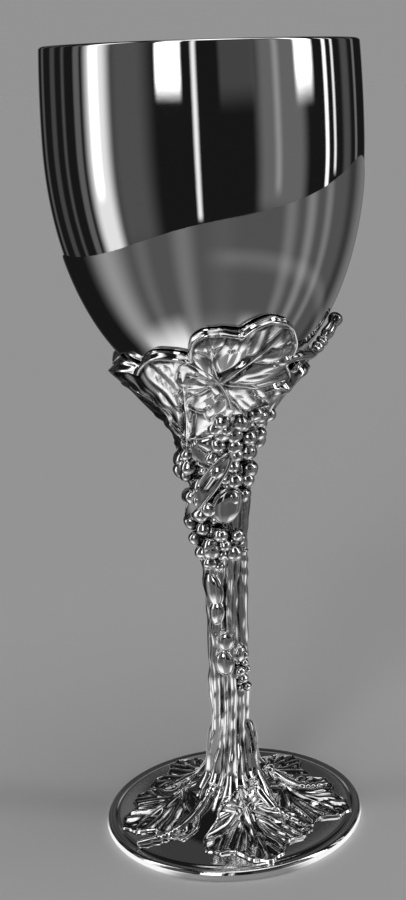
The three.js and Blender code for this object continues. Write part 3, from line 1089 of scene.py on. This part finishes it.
@dataclass
class Foliage:
    """Everything that grows on the trunk, cup and foot.

    The tendril's stops are given by distance to the right of the front leaf's stalk, distance above
    it and lift; the winding shoot's by share of the height below the bowl.
    """

    trunk: Trunk
    leaf_sink: float = 0.9
    leaf_root: float = 0.8
    leaf_start: float = 13.0
    grape_radius: float = 2.1
    grape_pitch: float = 3.7
    bud_radius: float = 1.25
    front_angle: float = 2.0
    front_rise: float = 8.5
    tendril_radius: float = 1.25
    knob_radius: float = 1.8
    winding_radius: float = 0.9
    root_radius: float = 1.3
    grape_shift: float = 0.38
    grape_seed: int = 7
    grape_sides: int = 20
    grape_rings: int = 17
    # How far up a grape its painted shade reaches before it fades out.
    grape_shade_reach: float = 0.72
    under_size: float = 0.8
    under_drop: float = 0.3
    upper_growth: tuple[float, float] = (0.05, 0.4)
    upper_lift: tuple[float, float, float] = (0.35, 0.35, 0.3)
    grape_sunk: float = 0.2
    row_step: float = 0.87
    dent: float = 0.08
    dent_phase: tuple[float, float] = (1.7, 0.3)
    dent_wave: tuple[float, float, float] = (2.6, 2.9, 1.3)
    shoot_steps: int = 90
    shoot_sides: int = 16
    shoot_smoothing: int = 15
    joint_swell: float = 0.32
    joint_wander: tuple[float, float] = (0.35, 9.0)
    shoot_grooves: tuple[float, float] = (0.08, 2.5)
    tendril: tuple[tuple[float, float, float], ...] = (
        (12.5, 4.6, 0.9),
        (20.5, 5.6, 1.3),
        (27.5, 4.6, 1.5),
        (34.5, 7.4, 1.4),
    )
    tendril_tip: tuple[float, float] = (41.0, 12.6)
    winding: tuple[float, ...] = (0.66, 0.58, 0.5, 0.42, 0.34, 0.26, 0.2)
    winding_angle: float = 62.0
    winding_step: float = 16.0
    on_plate: tuple[LaidLeaf, ...] = (
        LaidLeaf(12.0, 6.0, 19.0),
        LaidLeaf(82.0, -8.0, 19.0),
        LaidLeaf(146.0, 0.0, 18.0),
        LaidLeaf(-150.0, 0.0, 18.0),
        LaidLeaf(-86.0, 24.0, 19.0),
    )
    buds: tuple[LaidBud, ...] = (
        LaidBud(-19.0, 0.82, 29.0, 12.0, 6.0, 2.9),
        LaidBud(-38.0, 0.57, 170.0, 5.0, 1.7, 0.9, 1.3),
        LaidBud(-30.0, 0.515, 188.0, 3.6, 1.6, 0.8, 1.2),
        LaidBud(12.0, 0.775, 196.0, 5.0, 1.5, 2.6, 1.0),
        LaidBud(-2.0, 0.445, 195.0, 2.9, 1.3, 0.8, 1.0),
        LaidBud(-10.0, 0.395, 172.0, 3.6, 1.4, 0.8, 1.0),
        LaidBud(46.0, 0.41, 200.0, 2.6, 1.2, 0.8, 1.2),
        LaidBud(150.0, 0.47, 180.0, 4.5, 1.6, 0.3),
        LaidBud(-150.0, 0.4, 170.0, 4.0, 1.5, 0.8, 1.2),
        LaidBud(94.0, 0.2, 10.0, 4.0, 2.0, 0.8, 1.2),
    )
    roots: tuple[Root, ...] = (
        Root(-36.0, -54.0, 0.95),
        Root(34.0, 50.0, 0.55),
        Root(92.0, 106.0, 0.75),
        Root(176.0, 180.0, 0.6),
    )

    @property
    def around_cup(self) -> tuple[LaidLeaf, ...]:
        """The leaves that clasp the bowl, with the front one last."""
        side = (1.0, 0.8, 0.45, 0.35, 0.45, 0.85)
        rounder = (1.0, 0.9, 0.45, 0.35, 0.45, 0.85)
        left = (1.0, 0.62, 0.36, 0.3, 0.38, 0.92)
        behind_left = (1.0, 0.85, 0.5, 0.35, 0.45, 0.85)
        behind = (1.0, 0.8, 0.55, 0.45, 0.6, 0.85)
        front = (1.0, 0.87, 0.73, 0.5, 0.46, 0.66)
        front_lips = ((-60.0, 46.0, 0.2), (0.0, 30.0, 0.2))
        return (
            LaidLeaf(-40.0, 22.0, 31.0, -8.0, left, ((-64.0, 36.0, 1.9), (-10.0, 44.0, 0.3))),
            LaidLeaf(64.0, 18.0, 20.0, -6.0, side, ((0.0, 60.0, 0.8),)),
            LaidLeaf(116.0, 12.0, 24.0, -6.0, rounder, ((0.0, 75.0, 1.5),)),
            LaidLeaf(-112.0, -8.0, 24.0, -6.0, behind_left, ((0.0, 75.0, 1.5),)),
            LaidLeaf(176.0, -30.0, 21.0, 8.0, behind, ((10.0, 60.0, 1.0),)),
            LaidLeaf(self.front_angle, 50.0, 24.0, self.front_rise, front, front_lips),
        )

    def on_guide(self, angle: float, along: float, turn: float) -> Spread:
        """Say how a leaf lies on the guide surface.

        Args:
            angle: Where its stalk is, about the axis.
            along: Where its stalk is, up the line.
            turn: Degrees its tip turns from straight up, clockwise seen from outside.

        Returns:
            The function that lays its flat points.
        """
        guide = self.trunk.guide
        cosine, sine = math.cos(math.radians(turn)), math.sin(math.radians(turn))
        lip = guide.at_height(self.trunk.lip_height)

        def spread(u: Array, v: Array, lift: Array, back: Array) -> Array:
            """Lay flat points on the guide surface, with the back sunk in what carries it.

            Args:
                u: Distance across the leaf.
                v: Distance towards its tip.
                lift: Height off the surface.
                back: 1 on the leaf's back, 0 on its face.

            Returns:
                One row of x, y, z per point.
            """
            across = u * cosine + v * sine
            up = along + v * cosine - u * sine
            radius = np.maximum(self.trunk.trunk_radius, guide.radius_at(up))
            rooted = back * (1.0 - smoothstep(lip - 1.5, lip - 0.3, up))
            sunk = lift * (1.0 - rooted) - self.leaf_sink * rooted
            return guide.place(up, angle + np.degrees(across / radius), sunk)

        return spread

    def on_foot(self, angle: float, start: float, turn: float) -> Spread:
        """Say how a leaf lies on the foot.

        Args:
            angle: Where its stalk is, about the axis.
            start: Its stalk's distance from the axis.
            turn: Degrees its tip turns from pointing straight out.

        Returns:
            The function that lays its flat points.
        """
        trunk = self.trunk
        out = around(angle + turn, 1.0, 0.0)
        side = np.array([out[1], -out[0], 0.0])
        stalk = around(angle, start, 0.0)

        def spread(u: Array, v: Array, lift: Array, back: Array) -> Array:
            """Lay flat points on the foot, with the back sunk in its plate.

            Args:
                u: Distance across the leaf.
                v: Distance towards its tip.
                lift: Height off the foot.
                back: 1 on the leaf's back, 0 on its face.

            Returns:
                One row of x, y, z per point.
            """
            plan = stalk + v[..., None] * out + u[..., None] * side
            distance = np.hypot(plan[..., 0], plan[..., 1])
            radius = np.clip(distance, trunk.flare_radius, trunk.plate_radius)
            heading = np.degrees(np.arctan2(plan[..., 0], -plan[..., 1]))
            face = trunk.guide.place(trunk.guide.at_radius(radius), heading, lift)
            root = around(heading, radius, trunk.foot_edge - self.leaf_root)
            return np.where(back[..., None] > 0.5, root, face)

        return spread

    def foot_leaves(self) -> Shell:
        """Build the five vine leaves that lie on the foot.

        Returns:
            One shell with all of them.
        """
        shells = []
        for laid in self.on_plate:
            leaf = Leaf(
                laid.length,
                lobes=laid.lobes,
                bay_depth=0.22,
                lobe_power=1.6,
                settled=1.0,
                thickness=0.4,
                puff=0.9,
                curl=-0.2,
                bead=0.36,
                lips=laid.lips,
                lip_bead=0.3,
                vein_height=1.0,
                vein_width=0.75,
                rib_height=1.1,
                rib_pitch=6.6,
                rib_slope=1.9,
                teeth=0.035,
                crumple=0.3,
            )
            shells.append(leaf.shell(self.on_foot(laid.angle, self.leaf_start, laid.turn)))
        return Shell.joined(shells)

    def cup_leaves(self) -> Shell:
        """Build the leaves that clasp the bowl.

        Returns:
            One shell with all of them.
        """
        bottom = self.trunk.bowl.bottom
        shells = []
        for laid in self.around_cup:
            leaf = Leaf(
                laid.length,
                lobes=laid.lobes,
                bay_depth=0.2,
                lips=laid.lips,
                curl=0.0,
                thickness=0.9,
                settled=1.0,
                bead=0.6,
                vein_height=1.0,
                vein_width=0.7,
                rib_height=0.6,
                rib_pitch=6.8,
                teeth=0.012,
                crumple=0.45,
            )
            along = self.trunk.guide.at_height(bottom + laid.rise)
            shells.append(leaf.shell(self.on_guide(laid.angle, along, laid.turn)))
        return Shell.joined(shells)

    def stem_leaves(self) -> Shell:
        """Build the slender leaves and buds on the stem.

        Returns:
            One shell with all of them.
        """
        bottom = self.trunk.bowl.bottom
        veined = max(bud.length for bud in self.buds)
        shells = []
        for bud in self.buds:
            leaf = Leaf(
                bud.length,
                lobes=None,
                slimness=bud.slimness,
                thickness=0.5 + bud.proud,
                curl=0.2 - bud.dome,
                bead=0.5 if bud.dome == 0.0 else 0.25,
                vein_height=0.35 if bud.length == veined else 0.0,
                vein_width=0.35,
                spokes=72,
                rings=12,
            )
            along = self.trunk.guide.at_height(bud.share * bottom)
            shells.append(leaf.shell(self.on_guide(bud.angle, along, bud.turn)))
        return Shell.joined(shells)

    def grape(self, along: float, angle: float, radius: float, lift: float) -> Shell:
        """Build one grape, with painted shade on its side towards what carries it.

        Args:
            along: Its distance up the guide line.
            angle: Its angle about the axis.
            radius: Its radius.
            lift: How far its centre stands off the surface.

        Returns:
            The closed ball.
        """
        centre = self.trunk.guide.place(along, angle, lift)
        pole = self.trunk.guide.place(along, angle, lift + 1.0) - centre
        turn = np.array(Vector((0.0, 0.0, 1.0)).rotation_difference(Vector(pole)).to_matrix())
        rise = np.radians(np.linspace(-90.0, 90.0, self.grape_rings))[1:-1]
        spin = np.radians(np.arange(self.grape_sides) * 360.0 / self.grape_sides)
        ball = np.stack(
            [
                np.cos(rise)[:, None] * np.cos(spin)[None, :],
                np.cos(rise)[:, None] * np.sin(spin)[None, :],
                np.sin(rise)[:, None] + np.zeros((1, self.grape_sides)),
            ],
            axis=-1,
        )
        # Painted shade: full on the half towards the carrier, fading out up the other half.
        low = 1.0 - smoothstep(0.0, self.grape_shade_reach, ball[..., 2])
        by_height, by_angle = self.dent_phase
        phase = along * by_height + angle * by_angle
        first, second, lag = self.dent_wave
        dent = np.sin(first * ball[..., 0] + phase) * np.cos(second * ball[..., 1] - lag * phase)
        pole_dent = math.sin(phase) * math.cos(lag * phase)
        uneven = ball * (1.0 + self.dent * dent[..., None])
        shell = Shell.lathed(uneven @ turn.T * radius + centre, low)
        shell.points[-2] = centre - turn[:, 2] * radius * (1.0 + self.dent * pole_dent)
        shell.points[-1] = centre + turn[:, 2] * radius * (1.0 + self.dent * pole_dent)
        return shell

    def bunches(self) -> Shell:
        """Build the hanging bunches of grapes, each in two layers.

        Returns:
            One shell with all of them.
        """
        big = self.grape_radius
        bunches = (
            Bunch(30.0, 28.0, 0.983, (4, 5, 4, 4, 4, 3, 3, 2), big),
            Bunch(-58.0, -32.0, 0.885, (2, 2, 3, 2, 3, 2, 3, 2, 2, 1), big),
            Bunch(158.0, 170.0, 0.93, (3, 2, 1), big),
            Bunch(26.0, 26.0, 0.69, (2, 1), big * 0.95),
            Bunch(46.0, 52.0, 0.4, (1, 1, 2, 1, 1), self.bud_radius),
        )
        shells = []
        guide = self.trunk.guide
        least, domed, loose = self.upper_lift
        chance = np.random.default_rng(self.grape_seed)
        for bunch in bunches:
            size = bunch.size
            pitch = self.grape_pitch * size / big
            first = guide.at_height(bunch.start * self.trunk.bowl.bottom)
            for row, count in enumerate(bunch.rows):
                along = first - row * pitch * self.row_step
                lean = (bunch.tail - bunch.top) * row / max(1, len(bunch.rows) - 1)
                centre = bunch.top + lean
                step = math.degrees(pitch / (float(guide.radius_at(along)) + size * 0.5))
                for layer, extra in ((0.0, 1), (1.0, 0)):
                    for i in range(count + extra):
                        across = i - (count + extra - 1) / 2.0
                        dome = 1.0 - (across / (count / 2.0 + 1.0)) ** 2
                        shift = chance.uniform(-self.grape_shift, self.grape_shift, 2) * layer
                        up = along + (shift[0] - self.under_drop * (1.0 - layer)) * pitch
                        turn = centre + (across + shift[1]) * step
                        growth = chance.uniform(*self.upper_growth)
                        radius = size * (self.under_size + layer * growth)
                        stand = least + domed * dome + chance.uniform(0.0, loose)
                        lift = size * (layer * stand - self.grape_sunk)
                        shells.append(self.grape(up, turn, radius, lift))
        return Shell.joined(shells)

    def shoot(
        self,
        stops: list[tuple[float, float, float]],
        radius: float,
        knots: int,
        taper: float = 0.0,
    ) -> Shell:
        """Build a round shoot with swollen joints.

        Args:
            stops: Angle, distance up the guide line and lift of the places it passes.
            radius: Its radius.
            knots: How many swollen joints it has.
            taper: How much of its girth it loses towards its end.

        Returns:
            The closed shoot.
        """
        rows = np.array(stops)
        shares = np.linspace(0.0, 1.0, len(rows))
        fine = np.linspace(0.0, 1.0, self.shoot_steps)
        smooth = np.stack([np.interp(fine, shares, rows[:, k]) for k in range(3)], axis=1)
        window = np.hanning(self.shoot_smoothing)
        kernel = window / window.sum()
        spare = self.shoot_smoothing // 2
        padded = np.pad(smooth, ((spare, spare), (0, 0)), mode="edge")
        smooth = np.stack([np.convolve(padded[:, k], kernel, "valid") for k in range(3)], axis=1)
        route = self.trunk.guide.place(smooth[:, 1], smooth[:, 0], smooth[:, 2])
        way = np.gradient(route, axis=0)
        way /= np.linalg.norm(way, axis=1, keepdims=True)
        outward = self.trunk.guide.place(smooth[:, 1], smooth[:, 0], smooth[:, 2] + 1.0) - route
        across = np.cross(outward, way)
        across /= np.linalg.norm(across, axis=1, keepdims=True)
        up = np.cross(way, across)
        spin = np.radians(np.arange(self.shoot_sides) * 360.0 / self.shoot_sides)
        wander, pace = self.joint_wander
        uneven = fine * knots + wander * np.sin(fine * pace)
        swell = 1.0 + self.joint_swell * np.cos(uneven * 2.0 * math.pi) ** 2
        girth = (radius * swell * (1.0 - taper * fine))[:, None, None]
        ring = across[:, None, :] * np.cos(spin)[None, :, None]
        ring = ring + up[:, None, :] * np.sin(spin)[None, :, None]
        cut, count = self.shoot_grooves
        groove = 1.0 - cut * np.abs(np.sin(spin * count))[None, :, None]
        points = route[:, None, :] + ring * girth * groove
        # Painted shade: darker on the side that faces the surface the shoot lies on.
        dark = np.broadcast_to(0.5 - 0.5 * np.sin(spin)[None, :], points.shape[:2]) ** 2
        return Shell.lathed(points, dark)

    def shoots(self) -> Shell:
        """Build the tendril up the bowl, the shoot round the trunk and the roots on the foot.

        Returns:
            One shell with all of them.
        """
        guide = self.trunk.guide
        bottom = self.trunk.bowl.bottom
        stalk = guide.at_height(bottom + self.front_rise)

        def beside(across: float, up: float, lift: float) -> tuple[float, float, float]:
            """Give a stop by its place beside the front leaf's stalk.

            Args:
                across: Distance to the right of it.
                up: Distance above it.
                lift: Height off the surface.

            Returns:
                Angle, distance up the guide line and lift.
            """
            along = stalk + up
            turn = math.degrees(across / float(guide.radius_at(along)))
            return self.front_angle + turn, along, lift

        tip = beside(*self.tendril_tip, self.tendril_radius * 1.2)
        tendril = [beside(*stop) for stop in self.tendril] + [tip]
        winding = [
            (self.winding_angle + self.winding_step * i, guide.at_height(share * bottom), 0.3)
            for i, share in enumerate(self.winding)
        ]
        knob = self.grape(tip[1], tip[0], self.knob_radius, 1.4)
        run = self.trunk.plate_radius - self.trunk.flare_radius
        roots = []
        for root in self.roots:
            stops = []
            for way in (0.04, 0.25, 0.5, 0.75, 1.0):
                along = float(guide.at_radius(self.trunk.flare_radius + way * root.reach * run))
                stops.append((root.start + (root.end - root.start) * way, along, 0.5))
            roots.append(self.shoot(stops, self.root_radius, 3, 0.5))
        climbing = self.shoot(tendril, self.tendril_radius, 2)
        return Shell.joined([climbing, knob, self.shoot(winding, self.winding_radius, 5), *roots])

    def build(self, finish: Finish) -> None:
        """Make every part of the casting and finish it.

        Args:
            finish: The casting's finish.
        """
        material = finish.material()
        for name, shell in (
            ("vine_trunk", self.trunk.shell()),
            ("foot_leaves", self.foot_leaves()),
            ("cup_leaves", self.cup_leaves()),
            ("stem_leaves", self.stem_leaves()),
            ("grape_bunches", self.bunches()),
            ("tendrils", self.shoots()),
        ):
            shell.piece(name, material, Slot.CASTING, "vine_stem")


@dataclass(frozen=True)
class Panel:
    """A soft-edged light or dark card in the studio, by direction from the goblet."""

    left: float
    right: float
    low: float
    high: float
    glow: float
    soft: float = 2.0


@dataclass
class Studio:
    """Pale floor, studio surroundings and camera.

    The near floor is an ellipse, laid out by its half lengths, middle and turn. Its painted pools of
    light, and of shade where the strength is below 0, are given by direction, width and strength, and
    its painted bright ring by radius, width and strength.
    """

    floor_tone: float = 0.82
    floor_mirrored: float = 0.76
    near_half: tuple[float, float] = (1400.0, 760.0)
    near_centre: tuple[float, float] = (525.0, 868.0)
    near_turn: float = 63.3
    far_floor: float = 20.0
    floor_sides: int = 96
    # Levels of the painted light on the near floor, as reflections and bounced light see it.
    pooled_base: float = 0.38
    pooled_least: float = 0.03
    pooled_near: float = 0.42
    tone_limit: float = 0.9
    base_glow: float = 0.009
    # Painted pools of light, and of shade where the strength is below 0.
    pools: tuple[tuple[float, float, float], ...] = (
        (-84.0, 24.0, 0.95),
        (-52.0, 10.0, 0.2),
        (-19.0, 13.0, 0.4),
        (10.0, 16.0, 0.06),
        (62.0, 9.0, 0.4),
        (80.0, 8.0, 0.6),
        (98.0, 7.0, 0.5),
        (128.0, 12.0, -0.2),
        (155.0, 24.0, 0.4),
        (-140.0, 38.0, -0.25),
    )
    # Painted bright ring on the near floor.
    ring: tuple[float, float, float] = (262.0, 48.0, 0.26)
    ring_opens: tuple[float, float] = (-10.0, 20.0)
    # Painted glow: near the goblet the floor glows in bars for reflections and bounced light, though it
    # is no lamp.
    bars_within: tuple[float, float] = (60.0, 142.0)
    bars_glow: tuple[float, float, float] = (3.0, 0.95, 0.2)
    bars_edge: float = 0.4
    # Painted shade over the floor's left, by direction, and how much of the tone it leaves.
    painted_shade_left: tuple[float, float, float, float] = (-172.0, -150.0, -116.0, -98.0)
    painted_shade_share: float = 0.1
    camera_place: tuple[float, float, float] = (0.0, -0.3475, 0.1924)
    camera_turn: tuple[float, float, float] = (14.78, -1.84, -3.1)
    lens_length: float = 57.06
    lens_shift: float = -0.1
    film_width: float = 36.0
    clip: tuple[float, float] = (0.01, 100.0)
    glow_samples: int = 40000
    glow_seed: int = 3
    panels: tuple[Panel, ...] = (
        Panel(-180.0, -156.0, -30.0, 12.0, 0.3, 4.0),
        Panel(158.0, 180.0, -30.0, 12.0, 0.3, 4.0),
        Panel(-146.0, -141.0, -30.0, 30.0, 0.07, 2.0),
        Panel(-128.0, -121.0, -30.0, 30.0, 0.05, 2.0),
        Panel(-112.0, -109.0, -30.0, 30.0, 0.07, 2.0),
        Panel(-98.0, -92.0, -30.0, 30.0, 0.1, 1.5),
        Panel(-86.0, -68.0, -30.0, 60.0, 0.8, 5.0),
        Panel(-82.0, -76.0, -12.0, 60.0, 1.2, 3.0),
        Panel(-66.0, -38.0, -30.0, 40.0, 0.07, 8.0),
        Panel(-31.0, -14.0, 3.5, 50.0, 2.2, 1.6),
        Panel(-6.5, -3.5, -22.0, 50.0, 0.9, 1.4),
        Panel(12.0, 36.0, 2.5, 30.0, 0.05, 2.0),
        Panel(38.0, 74.0, -20.0, 30.0, 0.12, 5.0),
        Panel(50.0, 54.0, -14.0, 30.0, 0.16, 2.5),
        Panel(68.0, 82.0, 3.0, 50.0, 2.4, 2.5),
        Panel(93.0, 96.5, -12.0, 30.0, 1.2, 1.0),
        Panel(102.0, 104.5, -8.0, 30.0, 0.9, 1.0),
        Panel(114.0, 124.0, -30.0, 20.0, 0.06, 3.0),
        Panel(132.0, 136.0, -30.0, 20.0, 0.14, 1.5),
        Panel(-180.0, -176.5, 20.0, 26.0, 0.1, 1.2),
        Panel(-175.0, -171.5, 25.0, 31.0, 0.07, 1.2),
        Panel(173.5, 178.0, 27.0, 33.0, 0.05, 1.2),
        Panel(-190.0, -140.0, 18.0, 50.0, 0.035, 4.0),
        Panel(140.0, 190.0, 18.0, 50.0, 0.035, 4.0),
        Panel(-20.0, 110.0, 56.0, 90.0, 0.85, 6.0),
        Panel(-180.0, 180.0, 76.0, 90.0, 1.2, 6.0),
    )

    def glow(self, direction: Array) -> Array:
        """Give the surroundings' brightness in some directions.

        Args:
            direction: Rows of unit x, y, z.

        Returns:
            The brightness of each.
        """
        azimuth = np.degrees(np.arctan2(direction[:, 0], -direction[:, 1]))
        rise = np.degrees(np.arcsin(np.clip(direction[:, 2], -1.0, 1.0)))
        total = np.full(len(direction), self.base_glow)
        for panel in self.panels:
            soft = panel.soft
            above = smoothstep(panel.low - soft, panel.low + soft, rise)
            inside = smoothstep(panel.left - soft, panel.left + soft, azimuth)
            inside = inside * (1.0 - smoothstep(panel.right - soft, panel.right + soft, azimuth))
            inside = inside * above
            if panel.high < 90.0:
                inside = inside * (1.0 - smoothstep(panel.high - soft, panel.high + soft, rise))
            if panel.right - panel.left > 359.0:
                inside = above
            total = total + inside * panel.glow
        return total

    def floor_glow(self) -> float:
        """Work out how bright the open floor looks under the surroundings.

        Returns:
            The floor's brightness, so that the backdrop behind it can match.
        """
        chance = np.random.default_rng(self.glow_seed)
        rise = np.sqrt(chance.random(self.glow_samples))
        turn = chance.random(self.glow_samples) * 2.0 * math.pi
        flat = np.sqrt(1.0 - rise**2)
        ways = np.stack([flat * np.cos(turn), flat * np.sin(turn), rise], axis=1)
        return float(self.glow(ways).mean()) * self.floor_tone

    def surroundings(self) -> None:
        """Build the world: plain behind the goblet, light and dark cards in what it reflects."""
        world = bpy.data.worlds.new("studio")
        bpy.context.scene.world = world
        world.use_nodes = True
        shader = Shader(world.node_tree)
        parts = shader.node("ShaderNodeSeparateXYZ")
        shader.feed(parts.inputs[0], shader.node("ShaderNodeTexCoord").outputs["Generated"])
        back = shader.math("MULTIPLY", parts.outputs["Y"], -1.0)
        azimuth = shader.math("DEGREES", shader.math("ARCTAN2", parts.outputs["X"], back))
        rise = shader.math("DEGREES", shader.math("ARCSINE", parts.outputs["Z"]))
        total: object = self.base_glow
        for panel in self.panels:
            inside = shader.fit(rise, panel.low - panel.soft, panel.low + panel.soft)
            if panel.right - panel.left < 359.0:
                left = shader.fit(azimuth, panel.left - panel.soft, panel.left + panel.soft)
                right = shader.fit(azimuth, panel.right - panel.soft, panel.right + panel.soft, 1.0, 0.0)
                inside = shader.math("MULTIPLY", inside, shader.math("MULTIPLY", left, right))
            if panel.high < 90.0:
                inside = shader.math(
                    "MULTIPLY",
                    inside,
                    shader.fit(rise, panel.high - panel.soft, panel.high + panel.soft, 1.0, 0.0),
                )
            total = shader.math("ADD", total, shader.math("MULTIPLY", inside, panel.glow))
        seen = shader.node("ShaderNodeBackground")
        shade = self.floor_glow()
        shader.feed(seen.inputs["Color"], (shade, shade, shade, 1.0))
        cards = shader.node("ShaderNodeBackground")
        shader.feed(cards.inputs["Color"], total)
        pick = shader.node("ShaderNodeMixShader")
        shader.feed(pick.inputs[0], shader.node("ShaderNodeLightPath").outputs["Is Camera Ray"])
        shader.feed(pick.inputs[1], cards.outputs[0])
        shader.feed(pick.inputs[2], seen.outputs[0])
        out = shader.node("ShaderNodeOutputWorld")
        shader.feed(out.inputs["Surface"], pick.outputs[0])

    def floor(self) -> None:
        """Lay the pale floor: a near disc that the silver reflects, and a plain one beyond it.

        In the silver and to bounced light the near floor shows painted pools of light and shade, a
        painted bright ring, painted shade on its left and painted glowing bars near the goblet; seen
        directly it is even.
        """
        material = bpy.data.materials.new("pale_floor")
        material.use_nodes = True
        shader = Shader(material.node_tree)
        parts = shader.node("ShaderNodeSeparateXYZ")
        place = shader.node("ShaderNodeTexCoord").outputs["Object"]
        shader.feed(parts.inputs[0], place)
        back = shader.math("MULTIPLY", parts.outputs["Y"], -1.0)
        azimuth = shader.math("DEGREES", shader.math("ARCTAN2", parts.outputs["X"], back))
        # Painted pools of light and shade, by direction from the goblet.
        pooled: object = self.pooled_base
        for centre, width, strength in self.pools:
            off = shader.math("ABSOLUTE", shader.math("SUBTRACT", azimuth, centre))
            pooled = shader.math("ADD", pooled, shader.fit(off, 0.0, width, strength, 0.0))
        distance = shader.node("ShaderNodeVectorMath", operation="LENGTH")
        shader.feed(distance.inputs[0], place)
        far = distance.outputs["Value"]
        # Painted bright ring.
        radius, width, strength = self.ring
        off = shader.math("ABSOLUTE", shader.math("SUBTRACT", far, radius * METRES))
        arc = shader.math(
            "MULTIPLY",
            shader.fit(off, 0.0, width * METRES, strength, 0.0),
            shader.fit(azimuth, *self.ring_opens),
        )
        pooled = shader.math("ADD", pooled, arc)
        # Painted shade over the left.
        behind, shut, wide, open_front = self.painted_shade_left
        lit = shader.math(
            "MAXIMUM",
            shader.fit(azimuth, behind, shut, 1.0, self.painted_shade_share),
            shader.fit(azimuth, wide, open_front, self.painted_shade_share, 1.0),
        )
        pooled = shader.math("MULTIPLY", pooled, lit)
        # Near the goblet the painted tone is dimmed where the painted glowing bars take over.
        low, high = self.bars_within
        nearby = shader.fit(far, low * METRES, high * METRES, 1.0, 0.0)
        hidden = shader.math("MULTIPLY", nearby, self.pooled_near)
        dimmed = shader.math("SUBTRACT", self.floor_mirrored, hidden)
        pooled = shader.math("MULTIPLY", pooled, dimmed)
        pooled = shader.math("MAXIMUM", pooled, self.pooled_least)
        # Painted glow in bars round the goblet.
        count, bright, dim = self.bars_glow
        wave = shader.math("COSINE", shader.math("MULTIPLY", shader.math("RADIANS", azimuth), count))
        barred = shader.fit(wave, -self.bars_edge, self.bars_edge, bright, dim)
        # Seen directly the floor is even; reflections and bounced light see its painted light and shade.
        seen = shader.node("ShaderNodeLightPath").outputs["Is Camera Ray"]
        even = shader.math("MULTIPLY", shader.math("SUBTRACT", 1.0, pooled), seen)
        tone = shader.math("MULTIPLY", shader.math("ADD", pooled, even), self.floor_tone)
        body = shader.node("ShaderNodeBsdfDiffuse")
        shader.feed(body.inputs["Color"], shader.math("MINIMUM", tone, self.tone_limit))
        # The floor glows, though it is no lamp, to every ray but the camera's.
        bars = shader.node("ShaderNodeEmission")
        unseen = shader.math("SUBTRACT", 1.0, seen)
        strength = shader.math("MULTIPLY", shader.math("MULTIPLY", barred, nearby), unseen)
        shader.feed(bars.inputs["Strength"], strength)
        both = shader.node("ShaderNodeAddShader")
        shader.feed(both.inputs[0], body.outputs[0])
        shader.feed(both.inputs[1], bars.outputs[0])
        out = shader.node("ShaderNodeOutputMaterial")
        shader.feed(out.inputs["Surface"], both.outputs[0])
        self.plates(material)

    def plates(self, material: bpy.types.Material) -> None:
        """Make the near and the far floor, the far one as a ring about the near one.

        Args:
            material: The floor's material.
        """
        sides = self.floor_sides
        turn = np.radians(np.arange(sides) * 360.0 / sides)
        tilt = math.radians(self.near_turn)
        along = self.near_half[0] * np.cos(turn)
        aside = self.near_half[1] * np.sin(turn)
        rightward = along * math.cos(tilt) - aside * math.sin(tilt)
        backward = along * math.sin(tilt) + aside * math.cos(tilt)
        edge = np.stack([rightward, backward, np.zeros(sides)], axis=1)
        middle = np.array([*self.near_centre, 0.0])
        ring = []
        for i in range(sides):
            j = (i + 1) % sides
            ring.append((i, j, sides + j, sides + i))
        for name, points, faces in (
            ("floor_near", edge + middle, [tuple(range(sides))]),
            ("floor_far", np.concatenate([edge, edge * self.far_floor]) + middle, ring),
        ):
            mesh = bpy.data.meshes.new(name)
            mesh.from_pydata((points * METRES).tolist(), [], faces)
            mesh.materials.append(material)
            plate = bpy.data.objects.new(name, mesh)
            bpy.context.scene.collection.objects.link(plate)
            plate.visible_glossy = name == "floor_near"
            plate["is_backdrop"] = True

    def camera(self) -> None:
        """Set the camera to the photograph's viewing angle."""
        pitch, roll, yaw = (math.radians(angle) for angle in self.camera_turn)
        right = np.array([math.cos(yaw), math.sin(yaw), 0.0])
        level = np.array([-math.sin(yaw), math.cos(yaw), 0.0])
        ahead = math.cos(pitch) * level + np.array([0.0, 0.0, -math.sin(pitch)])
        up = math.sin(pitch) * level + np.array([0.0, 0.0, math.cos(pitch)])
        across = math.cos(roll) * right + math.sin(roll) * up
        above = -math.sin(roll) * right + math.cos(roll) * up
        lens = bpy.data.cameras.new("portrait")
        lens.sensor_width = self.film_width
        lens.lens = self.lens_length
        lens.shift_x = self.lens_shift
        lens.clip_start, lens.clip_end = self.clip
        camera = bpy.data.objects.new("portrait", lens)
        turn = Matrix((Vector(across), Vector(above), Vector(-ahead))).transposed().to_4x4()
        camera.matrix_world = Matrix.Translation(self.camera_place) @ turn
        bpy.context.scene.collection.objects.link(camera)
        bpy.context.scene.camera = camera

    def build(self) -> None:
        """Set up camera, floor and surroundings."""
        self.camera()
        self.floor()
        self.surroundings()
        bpy.context.scene.view_settings.view_transform = "Standard"


def write_sizes(frame_box: object) -> None:
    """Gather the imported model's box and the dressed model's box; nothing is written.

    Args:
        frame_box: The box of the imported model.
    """
    boxes = {"cad": frame_box, "visual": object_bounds()}
    plain = {name: [[float(x) for x in corner] for corner in box] for name, box in boxes.items()}


def main() -> None:
    """Load the frame and dress it."""
    logging.basicConfig(level=logging.INFO, format="%(name)s: %(message)s")
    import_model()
    frame_box = [list(corner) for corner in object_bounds()]
    Studio().build()
    bowl = Bowl()
    bowl.build(MIRROR_POLISH)
    Foliage(Trunk(bowl)).build(CAST_POLISH)
    write_sizes(frame_box)


if __name__ == "__main__":
    main()
